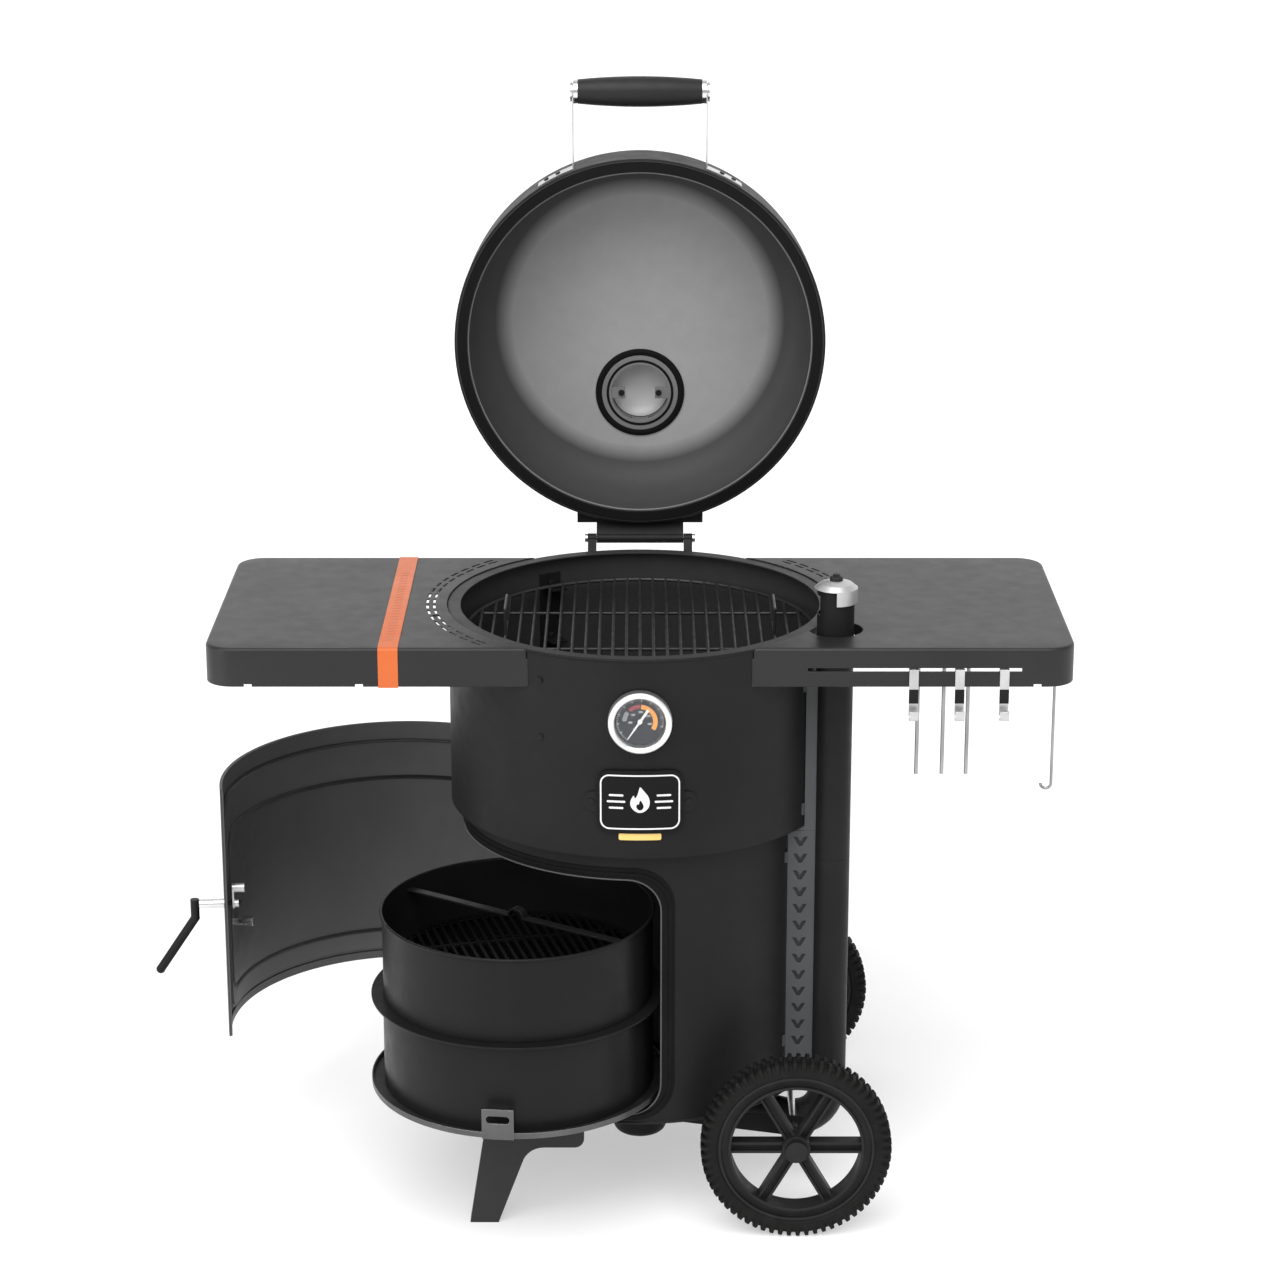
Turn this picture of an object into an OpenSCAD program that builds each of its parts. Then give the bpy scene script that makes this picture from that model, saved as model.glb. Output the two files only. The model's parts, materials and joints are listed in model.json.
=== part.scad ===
// Vertical drum smoker on a two-wheel cart: wide cooking chamber over a narrower fire chamber,
// hinged domed lid, curved fire door, swing-out fire tray, side tables and an air intake pipe.
// Millimetres. +X is the smoker's right, +Y its back, +Z up, and the floor is Z = 0.
// The lid, the door and the tray are drawn open. The drum axis stands at [frame_x, frame_y].

/* [Drum] */
// Outer radius of the cooking chamber
upper_r = 300; // [292:1:306]
// Outer radius of the fire chamber below it
lower_r = 279; // [276:1:282]
// Sheet thickness of the chambers and tables
sheet = 2; // [1.5:0.1:2.5]
// Height of the cooking chamber's rim
rim_z = 934; // [920:1:950]
// Height of the ledge between the two chambers
ledge_z = 619; // [610:1:625]
// Height of the underside of the fire chamber
floor_z = 169; // [160:1:172]

/* [Lid] */
// Depth of the lid from its rim plane to its flat top
lid_depth = 182; // [170:1:190]
// Radius of the lid's rounded shoulder
lid_shoulder = 80; // [60:1:90]
// Opening angle of the lid
lid_open = 90; // [0:1:90]
// Distance of the vent centre behind the lid's centre
vent_y = 122; // [110:1:130]

/* [Door and fire tray] */
// Opening angle of the fire door
door_open = 88; // [0:1:88]
// Swing of the fire tray out of the fire chamber
tray_out = 66; // [0:1:66]
// Radius of the fire tray
tray_r = 232; // [225:1:234]
// Radius of the ash pan's wall
pan_r = 212; // [205:1:214]

/* [Side tables] */
// Height of the table tops
table_z = 935.5; // [930:0.5:945]
// Distance of each table's end from the drum axis
table_x = 655; // [600:1:700]
// Half depth of the tables
table_y = 249; // [240:1:255]
// Height of the tables' folded aprons
apron_h = 60; // [55:1:65]
// Corner radius of the tables
table_corner = 42; // [30:1:50]

/* [Air intake] */
// Position of the intake pipe to the right of the drum axis
pipe_x = 298; // [296:1:302]
// Position of the intake pipe in front of the drum axis
pipe_front = 150; // [149:1:153]
// Outer radius of the intake pipe
pipe_r = 28.5; // [27:0.5:29]

/* [Wheels and legs] */
// Outer radius of the tyres
wheel_r = 148; // [146:1:150]
// Width of the tyres
tyre_w = 45; // [40:1:48]
// Outer face of each wheel from the drum axis
wheel_y = 331; // [329:1:340]
// Axle position to the right of the drum axis
axle_x = 241.5; // [238:0.5:244]

/* [Hidden] */

$fn = 96;
run_gap = 0.05;                      // radial running clearance of a pin in its bore
part_gap = 0.3;                      // gap between faces that slide past each other
corner_step = 0.3;                   // step where a rounded corner meets a straight edge

// Finishes
black = "#2b2b2c";
enamel = "#343536";
steel = "#b9bbbd";
grey_steel = "#7d7f80";
orange = "#ee7d3c";

// Drum
rim_in_r = 281;                      // inner radius of the rim flange
rim_bead_r = 2;                      // rolled bead at the rim and the drum's foot
drum_top_overlap = 640;              // top of the fire chamber's wall inside the upper one
cup_r = 43.5;                        // radius of the sump under the drum
floor_hole_r = cup_r - 4;

// Door opening, in degrees about the drum axis, and its raised frame
open_az = [126, 276.5];
open_z = [186, 576];
open_corner = 52;
frame_az = [121.8, 281];
frame_z = [176, 595];
frame_band = 1.5;                    // thickness of the frame on the drum wall
frame_bead = 2;                      // height of its raised bead
frame_bead_w = 5;

// Door, drawn closed about the drum axis and turned open about its hinge
hinge_az = 121;
hinge_r = 290;
door_az = [122.5, 281];
door_z = [176, 608];
skin_r = 288;
skin_t = 1.5;
flange_t = 3;                        // inward depth of the door's edge flanges
flange_az = [127, 276.7];
flange_z = [190, 578];
door_corner = 12;
flange_corner = 45;
liner_az = [131, 267];               // raised middle panel of the liner
liner_z = [234, 506];
liner_t = 2.5;
liner_r = skin_r - skin_t - 6;       // inner face of the raised panel
knuckle_r = 6;
door_pin_r = 3;
knuckle_h = 24;
door_hinge_z = [250, 520];           // foot of each door hinge
hinge_x = hinge_r * cos(hinge_az);
hinge_y = hinge_r * sin(hinge_az);

// Latch on the door
latch_az = 272;
latch_z = 398;
latch_shaft_r = 4;
lever_r = 7.25;
lever_ball_r = lever_r + 0.25;       // rounded elbow and tip
lever_out = 336;                     // distance of the lever from the door's centre
lever_tip_out = 395.75;
lever_tip_z = 285;
spacer_r = 8;
cam_r = [271.3, 274.3];
cam_arm = 27;                        // shaft to roller
roller_r = 8;
post_az = latch_az - 12;             // fixed roller post on the liner
post_z = latch_z - 54;
post_len = 31;

// Fire tray, drawn inside the drum and swung out about its pivot
pivot_x = 40;
pivot_y = -235;
pivot_r = 5;
lug_r = 12;
tray_z = 206;
tray_lip = 9;
tab_w = 48.6;
tab_h = 49;
tab_az = 198;
pan_z = tray_z + sheet + 0.2;
pan_top = 355;
pan_flange_r = 230;
basket_wall_r = 211;
basket_rim_z = 492;
basket_bead_r = 2.5;
grid_z = 396;
strip_az = 81;
strip_z = 474;
strip_w = 14;

// Lid, drawn closed and turned open about its hinge
lid_rim_z = 937;
lid_r = upper_r;
lid_hinge_y = 330;
lid_hinge_z = 945;
lid_pin_r = 4;
lid_knuckle_r = 8;
base_half_w = 86.5;
leaf_half_w = 104;
lid_knuckle_half = 72;
lid_top = lid_rim_z + lid_depth;
gasket_z = rim_z + 0.6;

// Handle
grip_y = -404;
grip_z = 982;
grip_half = 100;
grip_end_r = 19.5;
grip_mid_r = 24.5;
bracket_x = 107;
bracket_t = 2;
foot_span = [21.8, 33];              // bracket foot, degrees either side of the front

// Exhaust vent in the lid
vent_r = 48;
vent_h = 20;
cap_out = vent_r + 8;
cap_h = 20;
cap_roof = 17;                       // inner height of the cap
stud_x = 31.3;                       // studs that hold the collar and the cap
stud_r = 2.5;
vent_windows = 6;

// Thermometer and badge
thermo_z = 840;
thermo_r = 48;
dial_r = 38;
stem_r = 4;
needle_turn = 214;                   // degrees clockwise from the top
badge_z = [661, 761];
badge_half = 12.6;                   // half width in degrees about the drum axis
bracket_half = 16.5;

// Side tables
cutout_r = 302;
slot_rows = [322, 332.5];
slot_w = 4;
slot_span = 3.6;
slot_pitch = 5.25;
left_slots = [-8, 8];
right_slots = [-3, 8];                // clear of the intake pipe
band_x = [-393, -363];
band_t = 1.2;
tool_slot_x = [252, 573];
tool_slot_z = [899.3, 904.8];
tool_y = -200;

// Grates
grate_r = 274;
grate_wire = 3;
grate_bar = 2.5;
grate_pitch = 21;
grate_levels = [890, 800];
bracket_az = [0, 120, 240];
bolt_r = 3;

// Air intake
pipe_y = -pipe_front;
pipe_in = pipe_r - sheet;
pipe_az = atan2(pipe_front, -pipe_x);   // direction from the pipe to the drum axis
pipe_reach = norm([pipe_x, pipe_front]);
bend_r = 70;
duct_z = 108;
bend_z = duct_z + bend_r;
pipe_top = 1000;
pipe_seam = 568;                     // the pipe is two lengths, one on the other
pipe_hole_r = 42;
cap_r = 33;
cap_z = 1002;
knob_stem_r = 3;
cap_steps = [[cap_r, 0], [25, 7], [12, 11.5]];   // radius and height of the cap's two cones
rail_y = -160;
rail_t = 2;
rail_foot = 225;
rail_split = 612;                    // top of the wide lower rail
rail_mid = 249;                      // middle of its row of chevrons
chevron_top = 593;
chevron_pitch = 28;
clamp_h = 16;
clamp_z = [250, 560, 846];

// Wheels
axle_r = 6;
hub_r = 22;
rim_r = 121;
rim_in = 101;
wheel_mid = wheel_y - tyre_w / 2;
axle_z = wheel_r;
axle_bracket_y = 238;

// Placing: the origin is the middle of the open smoker's outline, on the floor
door_cx = hinge_x - (hinge_x * cos(-door_open) - hinge_y * sin(-door_open));
tip_x = door_cx + lever_tip_out * cos(latch_az - door_open) - lever_ball_r;
tray_cy = pivot_y - (pivot_x * sin(tray_out) + pivot_y * cos(tray_out));
tab_out_r = tray_r + 3;
tab_turn = tab_az + tray_out;
tab_y = tray_cy + tab_out_r * sin(tab_turn) - tab_w / 2 * abs(cos(tab_turn));
vent_top = lid_top + vent_h + cap_h;
back_y = lid_hinge_y + (vent_top - lid_hinge_z) * sin(lid_open)
    + (vent_y + cap_out - lid_hinge_y) * cos(lid_open);
frame_x = -(tip_x + table_x) / 2;
frame_y = -(tab_y + back_y) / 2;

// ---- Shared shapes ----

module place() {
    translate([frame_x, frame_y, 0]) children();
}

module open_door() {
    place() translate([hinge_x, hinge_y, 0]) rotate([0, 0, -door_open])
        translate([-hinge_x, -hinge_y, 0]) children();
}

module swing_out() {
    place() translate([pivot_x, pivot_y, 0]) rotate([0, 0, tray_out])
        translate([-pivot_x, -pivot_y, 0]) children();
}

module raise_lid() {
    place() translate([0, lid_hinge_y, lid_hinge_z]) rotate([-lid_open, 0, 0])
        translate([0, -lid_hinge_y, -lid_hinge_z]) children();
}

module tube(r_out, r_in, z) {
    translate([0, 0, z[0]]) difference() {
        cylinder(r = r_out, h = z[1] - z[0]);
        translate([0, 0, -1]) cylinder(r = r_in, h = z[1] - z[0] + 2);
    }
}

module torus(r_mid, r_wire) {
    rotate_extrude() translate([r_mid, 0]) circle(r_wire, $fn = 32);
}

// A curved plate between two radii, two heights and two azimuths
module sector(r, z, az) {
    translate([0, 0, z[0]]) rotate([0, 0, az[0]]) rotate_extrude(angle = az[1] - az[0])
        translate([r[0], 0]) square([r[1] - r[0], z[1] - z[0]]);
}

// A cylinder whose axis is a radius of the drum
module radial(r_wire, az, z, r) {
    rotate([0, 0, az]) translate([r[0], 0, z]) rotate([0, 90, 0])
        cylinder(r = r_wire, h = r[1] - r[0]);
}

// A curved block with rounded corners, between two radii, two heights and two azimuths. The
// corners stop a hair short of the straight edges, so no surface only grazes another
module rounded_block(r, z, az, corner) {
    turn = asin(corner / ((r[0] + r[1]) / 2));
    reach = [sqrt(pow(r[0], 2) - pow(corner, 2)) - 1, r[1] + 1];
    sector(r, z, [az[0] + turn, az[1] - turn]);
    sector(r, z + [corner, -corner], az);
    for (a = [az[0] + turn, az[1] - turn], h = [z[0] + corner, z[1] - corner])
        radial(corner - corner_step, a, h, reach);
}

// The same block trimmed to a clean plate between its two radii
module curved_plate(r, z, az, corner) {
    intersection() {
        tube(r[1], r[0], z + [-1, 1]);
        rounded_block(r + [-1, 1], z, az, corner);
    }
}

// The lid's outline, as a solid dome standing on its rim
module dome(r, h, shoulder) {
    cylinder(r = r, h = h - shoulder);
    cylinder(r = r - shoulder, h = h);
    translate([0, 0, h - shoulder]) rotate_extrude() translate([r - shoulder, 0]) circle(shoulder);
}

// Things drawn looking at the drum's front: local X right, Y up, Z out of the drum
module on_front(z) {
    translate([0, 0, z]) rotate([90, 0, 0]) children();
}

function arc(cx, cy, r, a0, a1, steps = 6) =
    [for (i = [0 : steps]) let (a = a0 + (a1 - a0) * i / steps) [cx + r * cos(a), cy + r * sin(a)]];

// ---- Drum ----

module bolt_holes(r) {
    for (a = bracket_az, z = grate_levels) radial(bolt_r, a, z, r);
}

module upper_drum() {
    color(black) place() difference() {
        union() {
            tube(upper_r, upper_r - sheet, [ledge_z, rim_z - sheet]);
            tube(upper_r, rim_in_r, [rim_z - sheet, rim_z]);
            tube(upper_r, lower_r, [ledge_z, ledge_z + sheet]);
            translate([0, 0, rim_z - rim_bead_r]) torus(upper_r, rim_bead_r);
        }
        bolt_holes([upper_r - 10, upper_r + 10]);
        on_front(thermo_z) translate([0, 0, upper_r - 10]) cylinder(r = stem_r, h = 20);
    }
}

module lower_drum() {
    color(black) place() difference() {
        union() {
            tube(lower_r, lower_r - sheet, [floor_z, drum_top_overlap]);
            translate([0, 0, floor_z]) cylinder(r = lower_r, h = sheet);
            translate([0, 0, floor_z + rim_bead_r]) torus(lower_r, rim_bead_r);
        }
        rounded_block([lower_r - 5, lower_r + 3], open_z, open_az, open_corner);
        translate([0, 0, floor_z - 1]) cylinder(r = floor_hole_r, h = sheet + 2);
    }
}

module door_frame() {
    bead_r = lower_r + frame_band;
    color(enamel) place() {
        difference() {
            union() {
                curved_plate([lower_r, bead_r], frame_z, frame_az, open_corner + 10);
                difference() {
                    curved_plate([bead_r - 0.5, bead_r + frame_bead],
                        frame_z + [4, -7], frame_az + [1, -1], open_corner + 6);
                    rounded_block([bead_r - 3, bead_r + 6], frame_z + [4 + frame_bead_w, -12],
                        frame_az + [2, -2], open_corner + 2);
                }
            }
            rounded_block([lower_r - 5, bead_r + 6], open_z, open_az, open_corner);
        }
    }
}

module grate_brackets() {
    color(enamel) place() difference() {
        for (a = bracket_az) {
            sector([upper_r - sheet - 3, upper_r - sheet], [grate_levels[1] - 22, grate_levels[0] + 16],
                [a - 3.6, a + 3.6]);
            for (z = grate_levels)
                sector([grate_r - 12, upper_r - sheet - 2],
                    [z - grate_wire - 3.2, z - grate_wire - 0.2], [a - 3, a + 3]);
        }
        bolt_holes([upper_r - 20, upper_r]);
    }
}

module drum_bolts() {
    color(enamel) place() for (a = bracket_az, z = grate_levels) {
        radial(bolt_r, a, z, [upper_r - sheet - 8, upper_r + 1]);
        radial(5.5, a, z, [upper_r, upper_r + 1.2]);
        radial(4.2, a, z, [upper_r + 1, upper_r + 2.6]);
        rotate([0, 0, a]) translate([upper_r - sheet - 7, 0, z]) rotate([0, 90, 0])
            cylinder(r = 5.6, h = 4, $fn = 6);
    }
}

// ---- Side tables ----

module table_outline(inset = 0) {
    difference() {
        union() {
            translate([0, inset - table_y]) square([table_x - table_corner, 2 * (table_y - inset)]);
            translate([0, table_corner - table_y])
                square([table_x - inset, 2 * (table_y - table_corner)]);
            for (s = [-1, 1]) translate([table_x - table_corner, s * (table_y - table_corner)])
                circle(table_corner - inset);
        }
        circle(cutout_r + inset);
    }
}

// A folded pan: top sheet, outer apron, short inner flange and tabs that meet the drum
module table_pan(slots) {
    difference() {
        union() {
            difference() {
                translate([0, 0, table_z - apron_h]) linear_extrude(apron_h) table_outline();
                translate([0, 0, table_z - apron_h - 1]) linear_extrude(apron_h + 1 - sheet)
                    table_outline(sheet);
                translate([0, 0, table_z - apron_h - 1]) cylinder(r = cutout_r + 12, h = apron_h - 17);
            }
            for (s = [-1, 1]) intersection() {
                tube(cutout_r + 12, upper_r, [table_z - apron_h, table_z - apron_h + 44]);
                translate([160, s > 0 ? table_y - sheet : -table_y, 0]) cube([60, sheet, table_z]);
            }
        }
        for (row = slot_rows, i = [slots[0] : slots[1]]) {
            az = i * slot_pitch - slot_span / 2;
            sector([row - slot_w / 2, row + slot_w / 2], [table_z - 5, table_z + 5],
                [az, az + slot_span]);
        }
    }
}

module left_table() {
    color(black) place() difference() {
        mirror([1, 0, 0]) table_pan(left_slots);
        for (x = [-589, -422]) translate([x - 6, -table_y - 1, table_z - apron_h - 1])
            cube([12, sheet + 2, 5]);
    }
}

module right_table() {
    color(black) place() difference() {
        table_pan(right_slots);
        translate([tool_slot_x[0], -table_y - 1, tool_slot_z[0]])
            cube([tool_slot_x[1] - tool_slot_x[0], sheet + 2, tool_slot_z[1] - tool_slot_z[0]]);
        translate([591, -table_y - 1, table_z - apron_h - 1]) cube([12, sheet + 2, 5]);
        translate([pipe_x, pipe_y, table_z - 25]) cylinder(r = pipe_hole_r, h = 30);
    }
}

module accent_band() {
    w = band_x[1] - band_x[0];
    color(orange) place() difference() {
        translate([band_x[0], -table_y - band_t, table_z - apron_h - 1.5])
            cube([w, 2 * (table_y + band_t), apron_h + 1.5 + band_t]);
        translate([band_x[0] - 1, -table_y, table_z - apron_h - 3])
            cube([w + 2, 2 * table_y, apron_h + 3]);
    }
}

// ---- Thermometer and badge ----

module thermometer_case() {
    color(steel) place() on_front(thermo_z) {
        tube(thermo_r, dial_r, [upper_r + 3, upper_r + 15]);
        translate([0, 0, upper_r + 15]) torus((thermo_r + dial_r) / 2, (thermo_r - dial_r) / 2);
        translate([0, 0, upper_r + 3]) cylinder(r = thermo_r - 1, h = 3);
        translate([0, 0, upper_r]) cylinder(r = 12, h = 4);
        translate([0, 0, upper_r - 85]) cylinder(r = stem_r, h = 90);
        translate([0, 0, upper_r + 5]) cylinder(r = 1.2, h = 5.5);
    }
}

module thermometer_dial() {
    color("#20222a") place() on_front(thermo_z) difference() {
        translate([0, 0, upper_r + 6]) cylinder(r = dial_r, h = 1);
        translate([0, 0, upper_r]) cylinder(r = 1.2, h = 12);
    }
}

module thermometer_glass() {
    color("#dfe6ea") place() on_front(thermo_z)
        translate([0, 0, upper_r + 12.5]) cylinder(r = dial_r, h = 1.5);
}

module thermometer_needle() {
    color("white") place() on_front(thermo_z) rotate([0, 0, -needle_turn])
        translate([0, 0, upper_r + 7.6]) difference() {
            union() {
                cylinder(r = 3.6, h = 2.4);
                translate([0, 0, 0.7]) linear_extrude(1)
                    polygon([[-2, -22], [2, -22], [1.6, 0], [0.6, 33], [-0.6, 33], [-1.6, 0]]);
            }
            translate([0, 0, -1]) cylinder(r = 1.2 + run_gap, h = 5);
        }
}

module thermometer_nut() {
    color(steel) place() on_front(thermo_z) translate([0, 0, upper_r - sheet - 8]) difference() {
        cylinder(r = 11, h = 7.6, $fn = 6);
        translate([0, 0, -1]) cylinder(r = stem_r, h = 10);
    }
}

module badge_bracket() {
    color(black) place() difference() {
        curved_plate([upper_r, upper_r + 3], [693, 725], [270 - bracket_half, 270 + bracket_half], 15.6);
        for (s = [-1, 1]) radial(2.5, 270 + s * 14, 709, [upper_r - 5, upper_r + 8]);
    }
}

module badge_plate() {
    color("#18181a") place()
        curved_plate([upper_r + 3, upper_r + 5], badge_z, [270 - badge_half, 270 + badge_half], 20);
}

module badge_bar() {
    color("#e7c268") place()
        curved_plate([upper_r, upper_r + 2.5], [649.5, 660.5], [263.9, 276.1], 2);
}

module badge_rivets() {
    color(grey_steel) place() for (s = [-1, 1]) {
        radial(2.5, 270 + s * 14, 709, [upper_r, upper_r + 4]);
        radial(5, 270 + s * 14, 709, [upper_r + 3, upper_r + 4.6]);
    }
}

// ---- Lid hinge, drum side ----

module lid_hinge_base() {
    color(black) place() difference() {
        union() {
            difference() {
                translate([-base_half_w, 280, 872]) cube([2 * base_half_w, 27, 46]);
                cylinder(r = upper_r, h = rim_z + 20);
            }
            for (s = [-1, 1]) translate([s * (base_half_w + lid_knuckle_half + part_gap) / 2, 0, 0])
                rotate([90, 0, 90]) linear_extrude(base_half_w - lid_knuckle_half - part_gap, center = true)
                    union() {
                        polygon([[304, 880], [307, 880], [338, 945], [322, 945], [304, 916]]);
                        translate([lid_hinge_y, lid_hinge_z]) circle(lid_knuckle_r);
                    }
        }
        translate([-120, lid_hinge_y, lid_hinge_z]) rotate([0, 90, 0]) cylinder(r = lid_pin_r, h = 240);
    }
}

module lid_hinge_pin() {
    color(grey_steel) place() translate([0, lid_hinge_y, lid_hinge_z]) rotate([0, 90, 0]) {
        cylinder(r = lid_pin_r, h = 2 * base_half_w, center = true);
        for (s = [-1, 1]) translate([0, 0, s * (base_half_w + 2.5)])
            cylinder(r = lid_pin_r + 3, h = 5, center = true);
    }
}

// ---- Lid ----

module lid_shell() {
    color(black) raise_lid() translate([0, 0, lid_rim_z]) difference() {
        union() {
            difference() {
                dome(lid_r, lid_depth, lid_shoulder);
                translate([0, 0, -1]) cylinder(r = lid_r - sheet, h = 20);
                dome(lid_r - sheet, lid_depth - sheet, lid_shoulder - sheet);
            }
            tube(lid_r, rim_in_r, [2, 4]);
            translate([0, 0, 3]) torus(lid_r, 2.5);
            translate([0, vent_y, lid_depth - sheet]) torus(71, 2.5);
        }
        translate([0, vent_y, lid_depth - 10]) cylinder(r = vent_r + sheet, h = 30);
        for (a = [270 - 30, 270 - 26, 270 + 26, 270 + 30])
            radial(2, a, grip_z - lid_rim_z, [lid_r - 10, lid_r + 10]);
    }
}

module lid_gasket() {
    color("#1b1b1b") raise_lid()
        tube(lid_r - sheet - 1, rim_in_r + 1, [gasket_z, lid_rim_z + 2]);
}

module lid_hinge_leaf() {
    color(black) raise_lid() difference() {
        union() {
            difference() {
                translate([-leaf_half_w, 268, 956]) cube([2 * leaf_half_w, 38, 42]);
                cylinder(r = lid_r, h = lid_top);
            }
            rotate([90, 0, 90]) linear_extrude(2 * lid_knuckle_half, center = true) union() {
                polygon([[303, 958], [322, 941], [336, 951], [306, 984], [303, 984]]);
                translate([lid_hinge_y, lid_hinge_z]) circle(lid_knuckle_r);
            }
        }
        translate([-120, lid_hinge_y, lid_hinge_z]) rotate([0, 90, 0])
            cylinder(r = lid_pin_r + run_gap, h = 240);
    }
}

module handle_grip() {
    bow = (pow(grip_half, 2) + pow(grip_mid_r - grip_end_r, 2)) / (2 * (grip_mid_r - grip_end_r));
    color("#1d1d1e") raise_lid() translate([0, grip_y, grip_z]) rotate([0, 90, 0]) rotate_extrude()
        intersection() {
            translate([0, -grip_half]) square([grip_mid_r, 2 * grip_half]);
            translate([grip_mid_r - bow, 0]) circle(bow, $fn = 720);
        }
}

module handle_end_caps() {
    color(steel) raise_lid() translate([0, grip_y, grip_z]) for (s = [-1, 1]) rotate([0, s * 90, 0]) {
        translate([0, 0, grip_half]) cylinder(r = grip_end_r + 0.4, h = bracket_x - grip_half);
        translate([0, 0, bracket_x + bracket_t]) cylinder(r = grip_end_r - 3, h = 3);
    }
}

module handle_brackets() {
    color(steel) raise_lid() for (s = [-1, 1]) {
        difference() {
            translate([s * (bracket_x + bracket_t / 2), 0, grip_z]) union() {
                translate([-bracket_t / 2, grip_y, -12]) cube([bracket_t, -grip_y - 270, 24]);
                translate([0, grip_y, 0]) rotate([0, 90, 0]) cylinder(r = 14, h = bracket_t, center = true);
            }
            cylinder(r = lid_r, h = lid_top);
        }
        difference() {
            sector([lid_r, lid_r + 2.5], [grip_z - 17, grip_z + 17],
                [270 + s * (s > 0 ? foot_span[0] - 1 : foot_span[1]),
                 270 + s * (s > 0 ? foot_span[1] : foot_span[0] - 1)]);
            for (a = [26, 30]) radial(2, 270 + s * a, grip_z, [lid_r - 10, lid_r + 10]);
        }
    }
}

module lid_screws() {
    color(grey_steel) raise_lid() {
        for (s = [-1, 1], a = [26, 30]) {
            radial(2, 270 + s * a, grip_z, [lid_r - 6, lid_r + 3]);
            radial(4, 270 + s * a, grip_z, [lid_r + 2.5, lid_r + 4.5]);
        }
        for (s = [-1, 1]) translate([s * stud_x, vent_y, lid_top - 8]) {
            cylinder(r = stud_r, h = vent_h + cap_roof + 8);
            cylinder(r = 2 * stud_r, h = 3);
        }
    }
}

module exhaust_collar() {
    color(enamel) raise_lid() translate([0, vent_y, lid_top]) difference() {
        union() {
            tube(vent_r + sheet, vent_r, [-6, vent_h]);
            tube(64, vent_r + 0.5, [-6, -sheet]);
            for (s = [-1, 1]) translate([s > 0 ? 25 : -vent_r - 1, -10, -5]) cube([vent_r - 24, 20, 2]);
        }
        for (s = [-1, 1]) translate([s * stud_x, 0, -10]) cylinder(r = stud_r, h = 20);
        for (i = [0 : vent_windows - 1])
            sector([vent_r - 3, vent_r + 5], [5, 16], [i * 60 - 14, i * 60 + 14]);
    }
}

module exhaust_damper() {
    color(black) raise_lid() translate([0, vent_y, lid_top]) difference() {
        union() {
            tube(vent_r + sheet + 2.3, vent_r + sheet + part_gap, [part_gap, vent_h - 0.5]);
            translate([-3, -vent_r - 16, 2]) cube([6, 13, 14]);
        }
        for (i = [0 : vent_windows - 1])
            sector([vent_r, vent_r + 9], [5, 16], [i * 60 - 14, i * 60 + 14]);
    }
}

module exhaust_cap() {
    color(black) raise_lid() translate([0, vent_y, lid_top + vent_h]) difference() {
        intersection() {
            cylinder(r = cap_out + 1, h = cap_h + 1);
            translate([0, 0, -cap_h]) dome(cap_out, 2 * cap_h, cap_h - 1);
        }
        translate([0, 0, cap_roof - 2 * cap_h]) dome(cap_out - sheet - 1, 2 * cap_h, cap_roof);
    }
}

// ---- Fire door ----

module door_skin() {
    color(enamel) open_door() difference() {
        union() {
            curved_plate([skin_r - skin_t, skin_r], door_z, door_az, door_corner);
            difference() {
                curved_plate([skin_r - skin_t - flange_t, skin_r - skin_t / 2], door_z + [0.6, -0.6],
                    door_az + [0.12, -0.12], door_corner - 0.6);
                rounded_block([skin_r - 10, skin_r + 5], flange_z, flange_az, flange_corner);
            }
        }
        radial(latch_shaft_r + run_gap, latch_az, latch_z, [skin_r - 20, skin_r + 10]);
    }
}

module door_liner() {
    inner = skin_r - skin_t;
    color(grey_steel) open_door() {
        curved_plate([inner - liner_t, inner], flange_z + [2, -2], flange_az + [1, -8], 40);
        curved_plate([liner_r, inner - liner_t + 0.5], liner_z, liner_az, 34);
    }
}

module door_hinge_leaves() {
    color(black) place() for (z = door_hinge_z) difference() {
        union() {
            sector([lower_r, lower_r + 2.5], [z, z + knuckle_h], [112, hinge_az - 1.6]);
            rotate([0, 0, hinge_az]) {
                translate([lower_r, -13, z]) cube([hinge_r - lower_r, 9, knuckle_h]);
                translate([hinge_r - 4, -9, z]) cube([4, 9, knuckle_h]);
                translate([hinge_r, 0, z]) cylinder(r = knuckle_r, h = knuckle_h);
            }
        }
        translate([hinge_x, hinge_y, z - 1]) cylinder(r = door_pin_r, h = knuckle_h + 2);
    }
}

module door_hinge_pins() {
    color(grey_steel) place() for (z = door_hinge_z) translate([hinge_x, hinge_y, z]) {
        cylinder(r = door_pin_r, h = 2 * knuckle_h + 2);
        translate([0, 0, 2 * knuckle_h + part_gap]) cylinder(r = knuckle_r - 0.5, h = 4);
    }
}

module door_hinge_straps() {
    color(black) open_door() for (z = door_hinge_z) difference() {
        union() {
            sector([skin_r, skin_r + 2.5], [z + knuckle_h + part_gap, z + 2 * knuckle_h], [122.5, 134]);
            translate([0, 0, z + knuckle_h + part_gap]) rotate([0, 0, hinge_az]) {
                translate([hinge_r - 2, 0, 0]) cube([2.2, 9, knuckle_h - part_gap]);
                translate([hinge_r, 0, 0]) cylinder(r = knuckle_r, h = knuckle_h - part_gap);
            }
        }
        translate([hinge_x, hinge_y, z]) cylinder(r = door_pin_r + run_gap, h = 3 * knuckle_h);
    }
}

module latch_posts() {
    color(steel) open_door() {
        difference() {
            radial(spacer_r, latch_az, latch_z, [skin_r, lever_out - lever_r - part_gap]);
            radial(latch_shaft_r + run_gap, latch_az, latch_z, [skin_r - 10, lever_out + 20]);
        }
        intersection() {
            radial(roller_r, post_az, post_z, [liner_r - post_len, skin_r]);
            translate([0, 0, post_z - 2 * roller_r]) cylinder(r = liner_r, h = 4 * roller_r);
        }
    }
}

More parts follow.
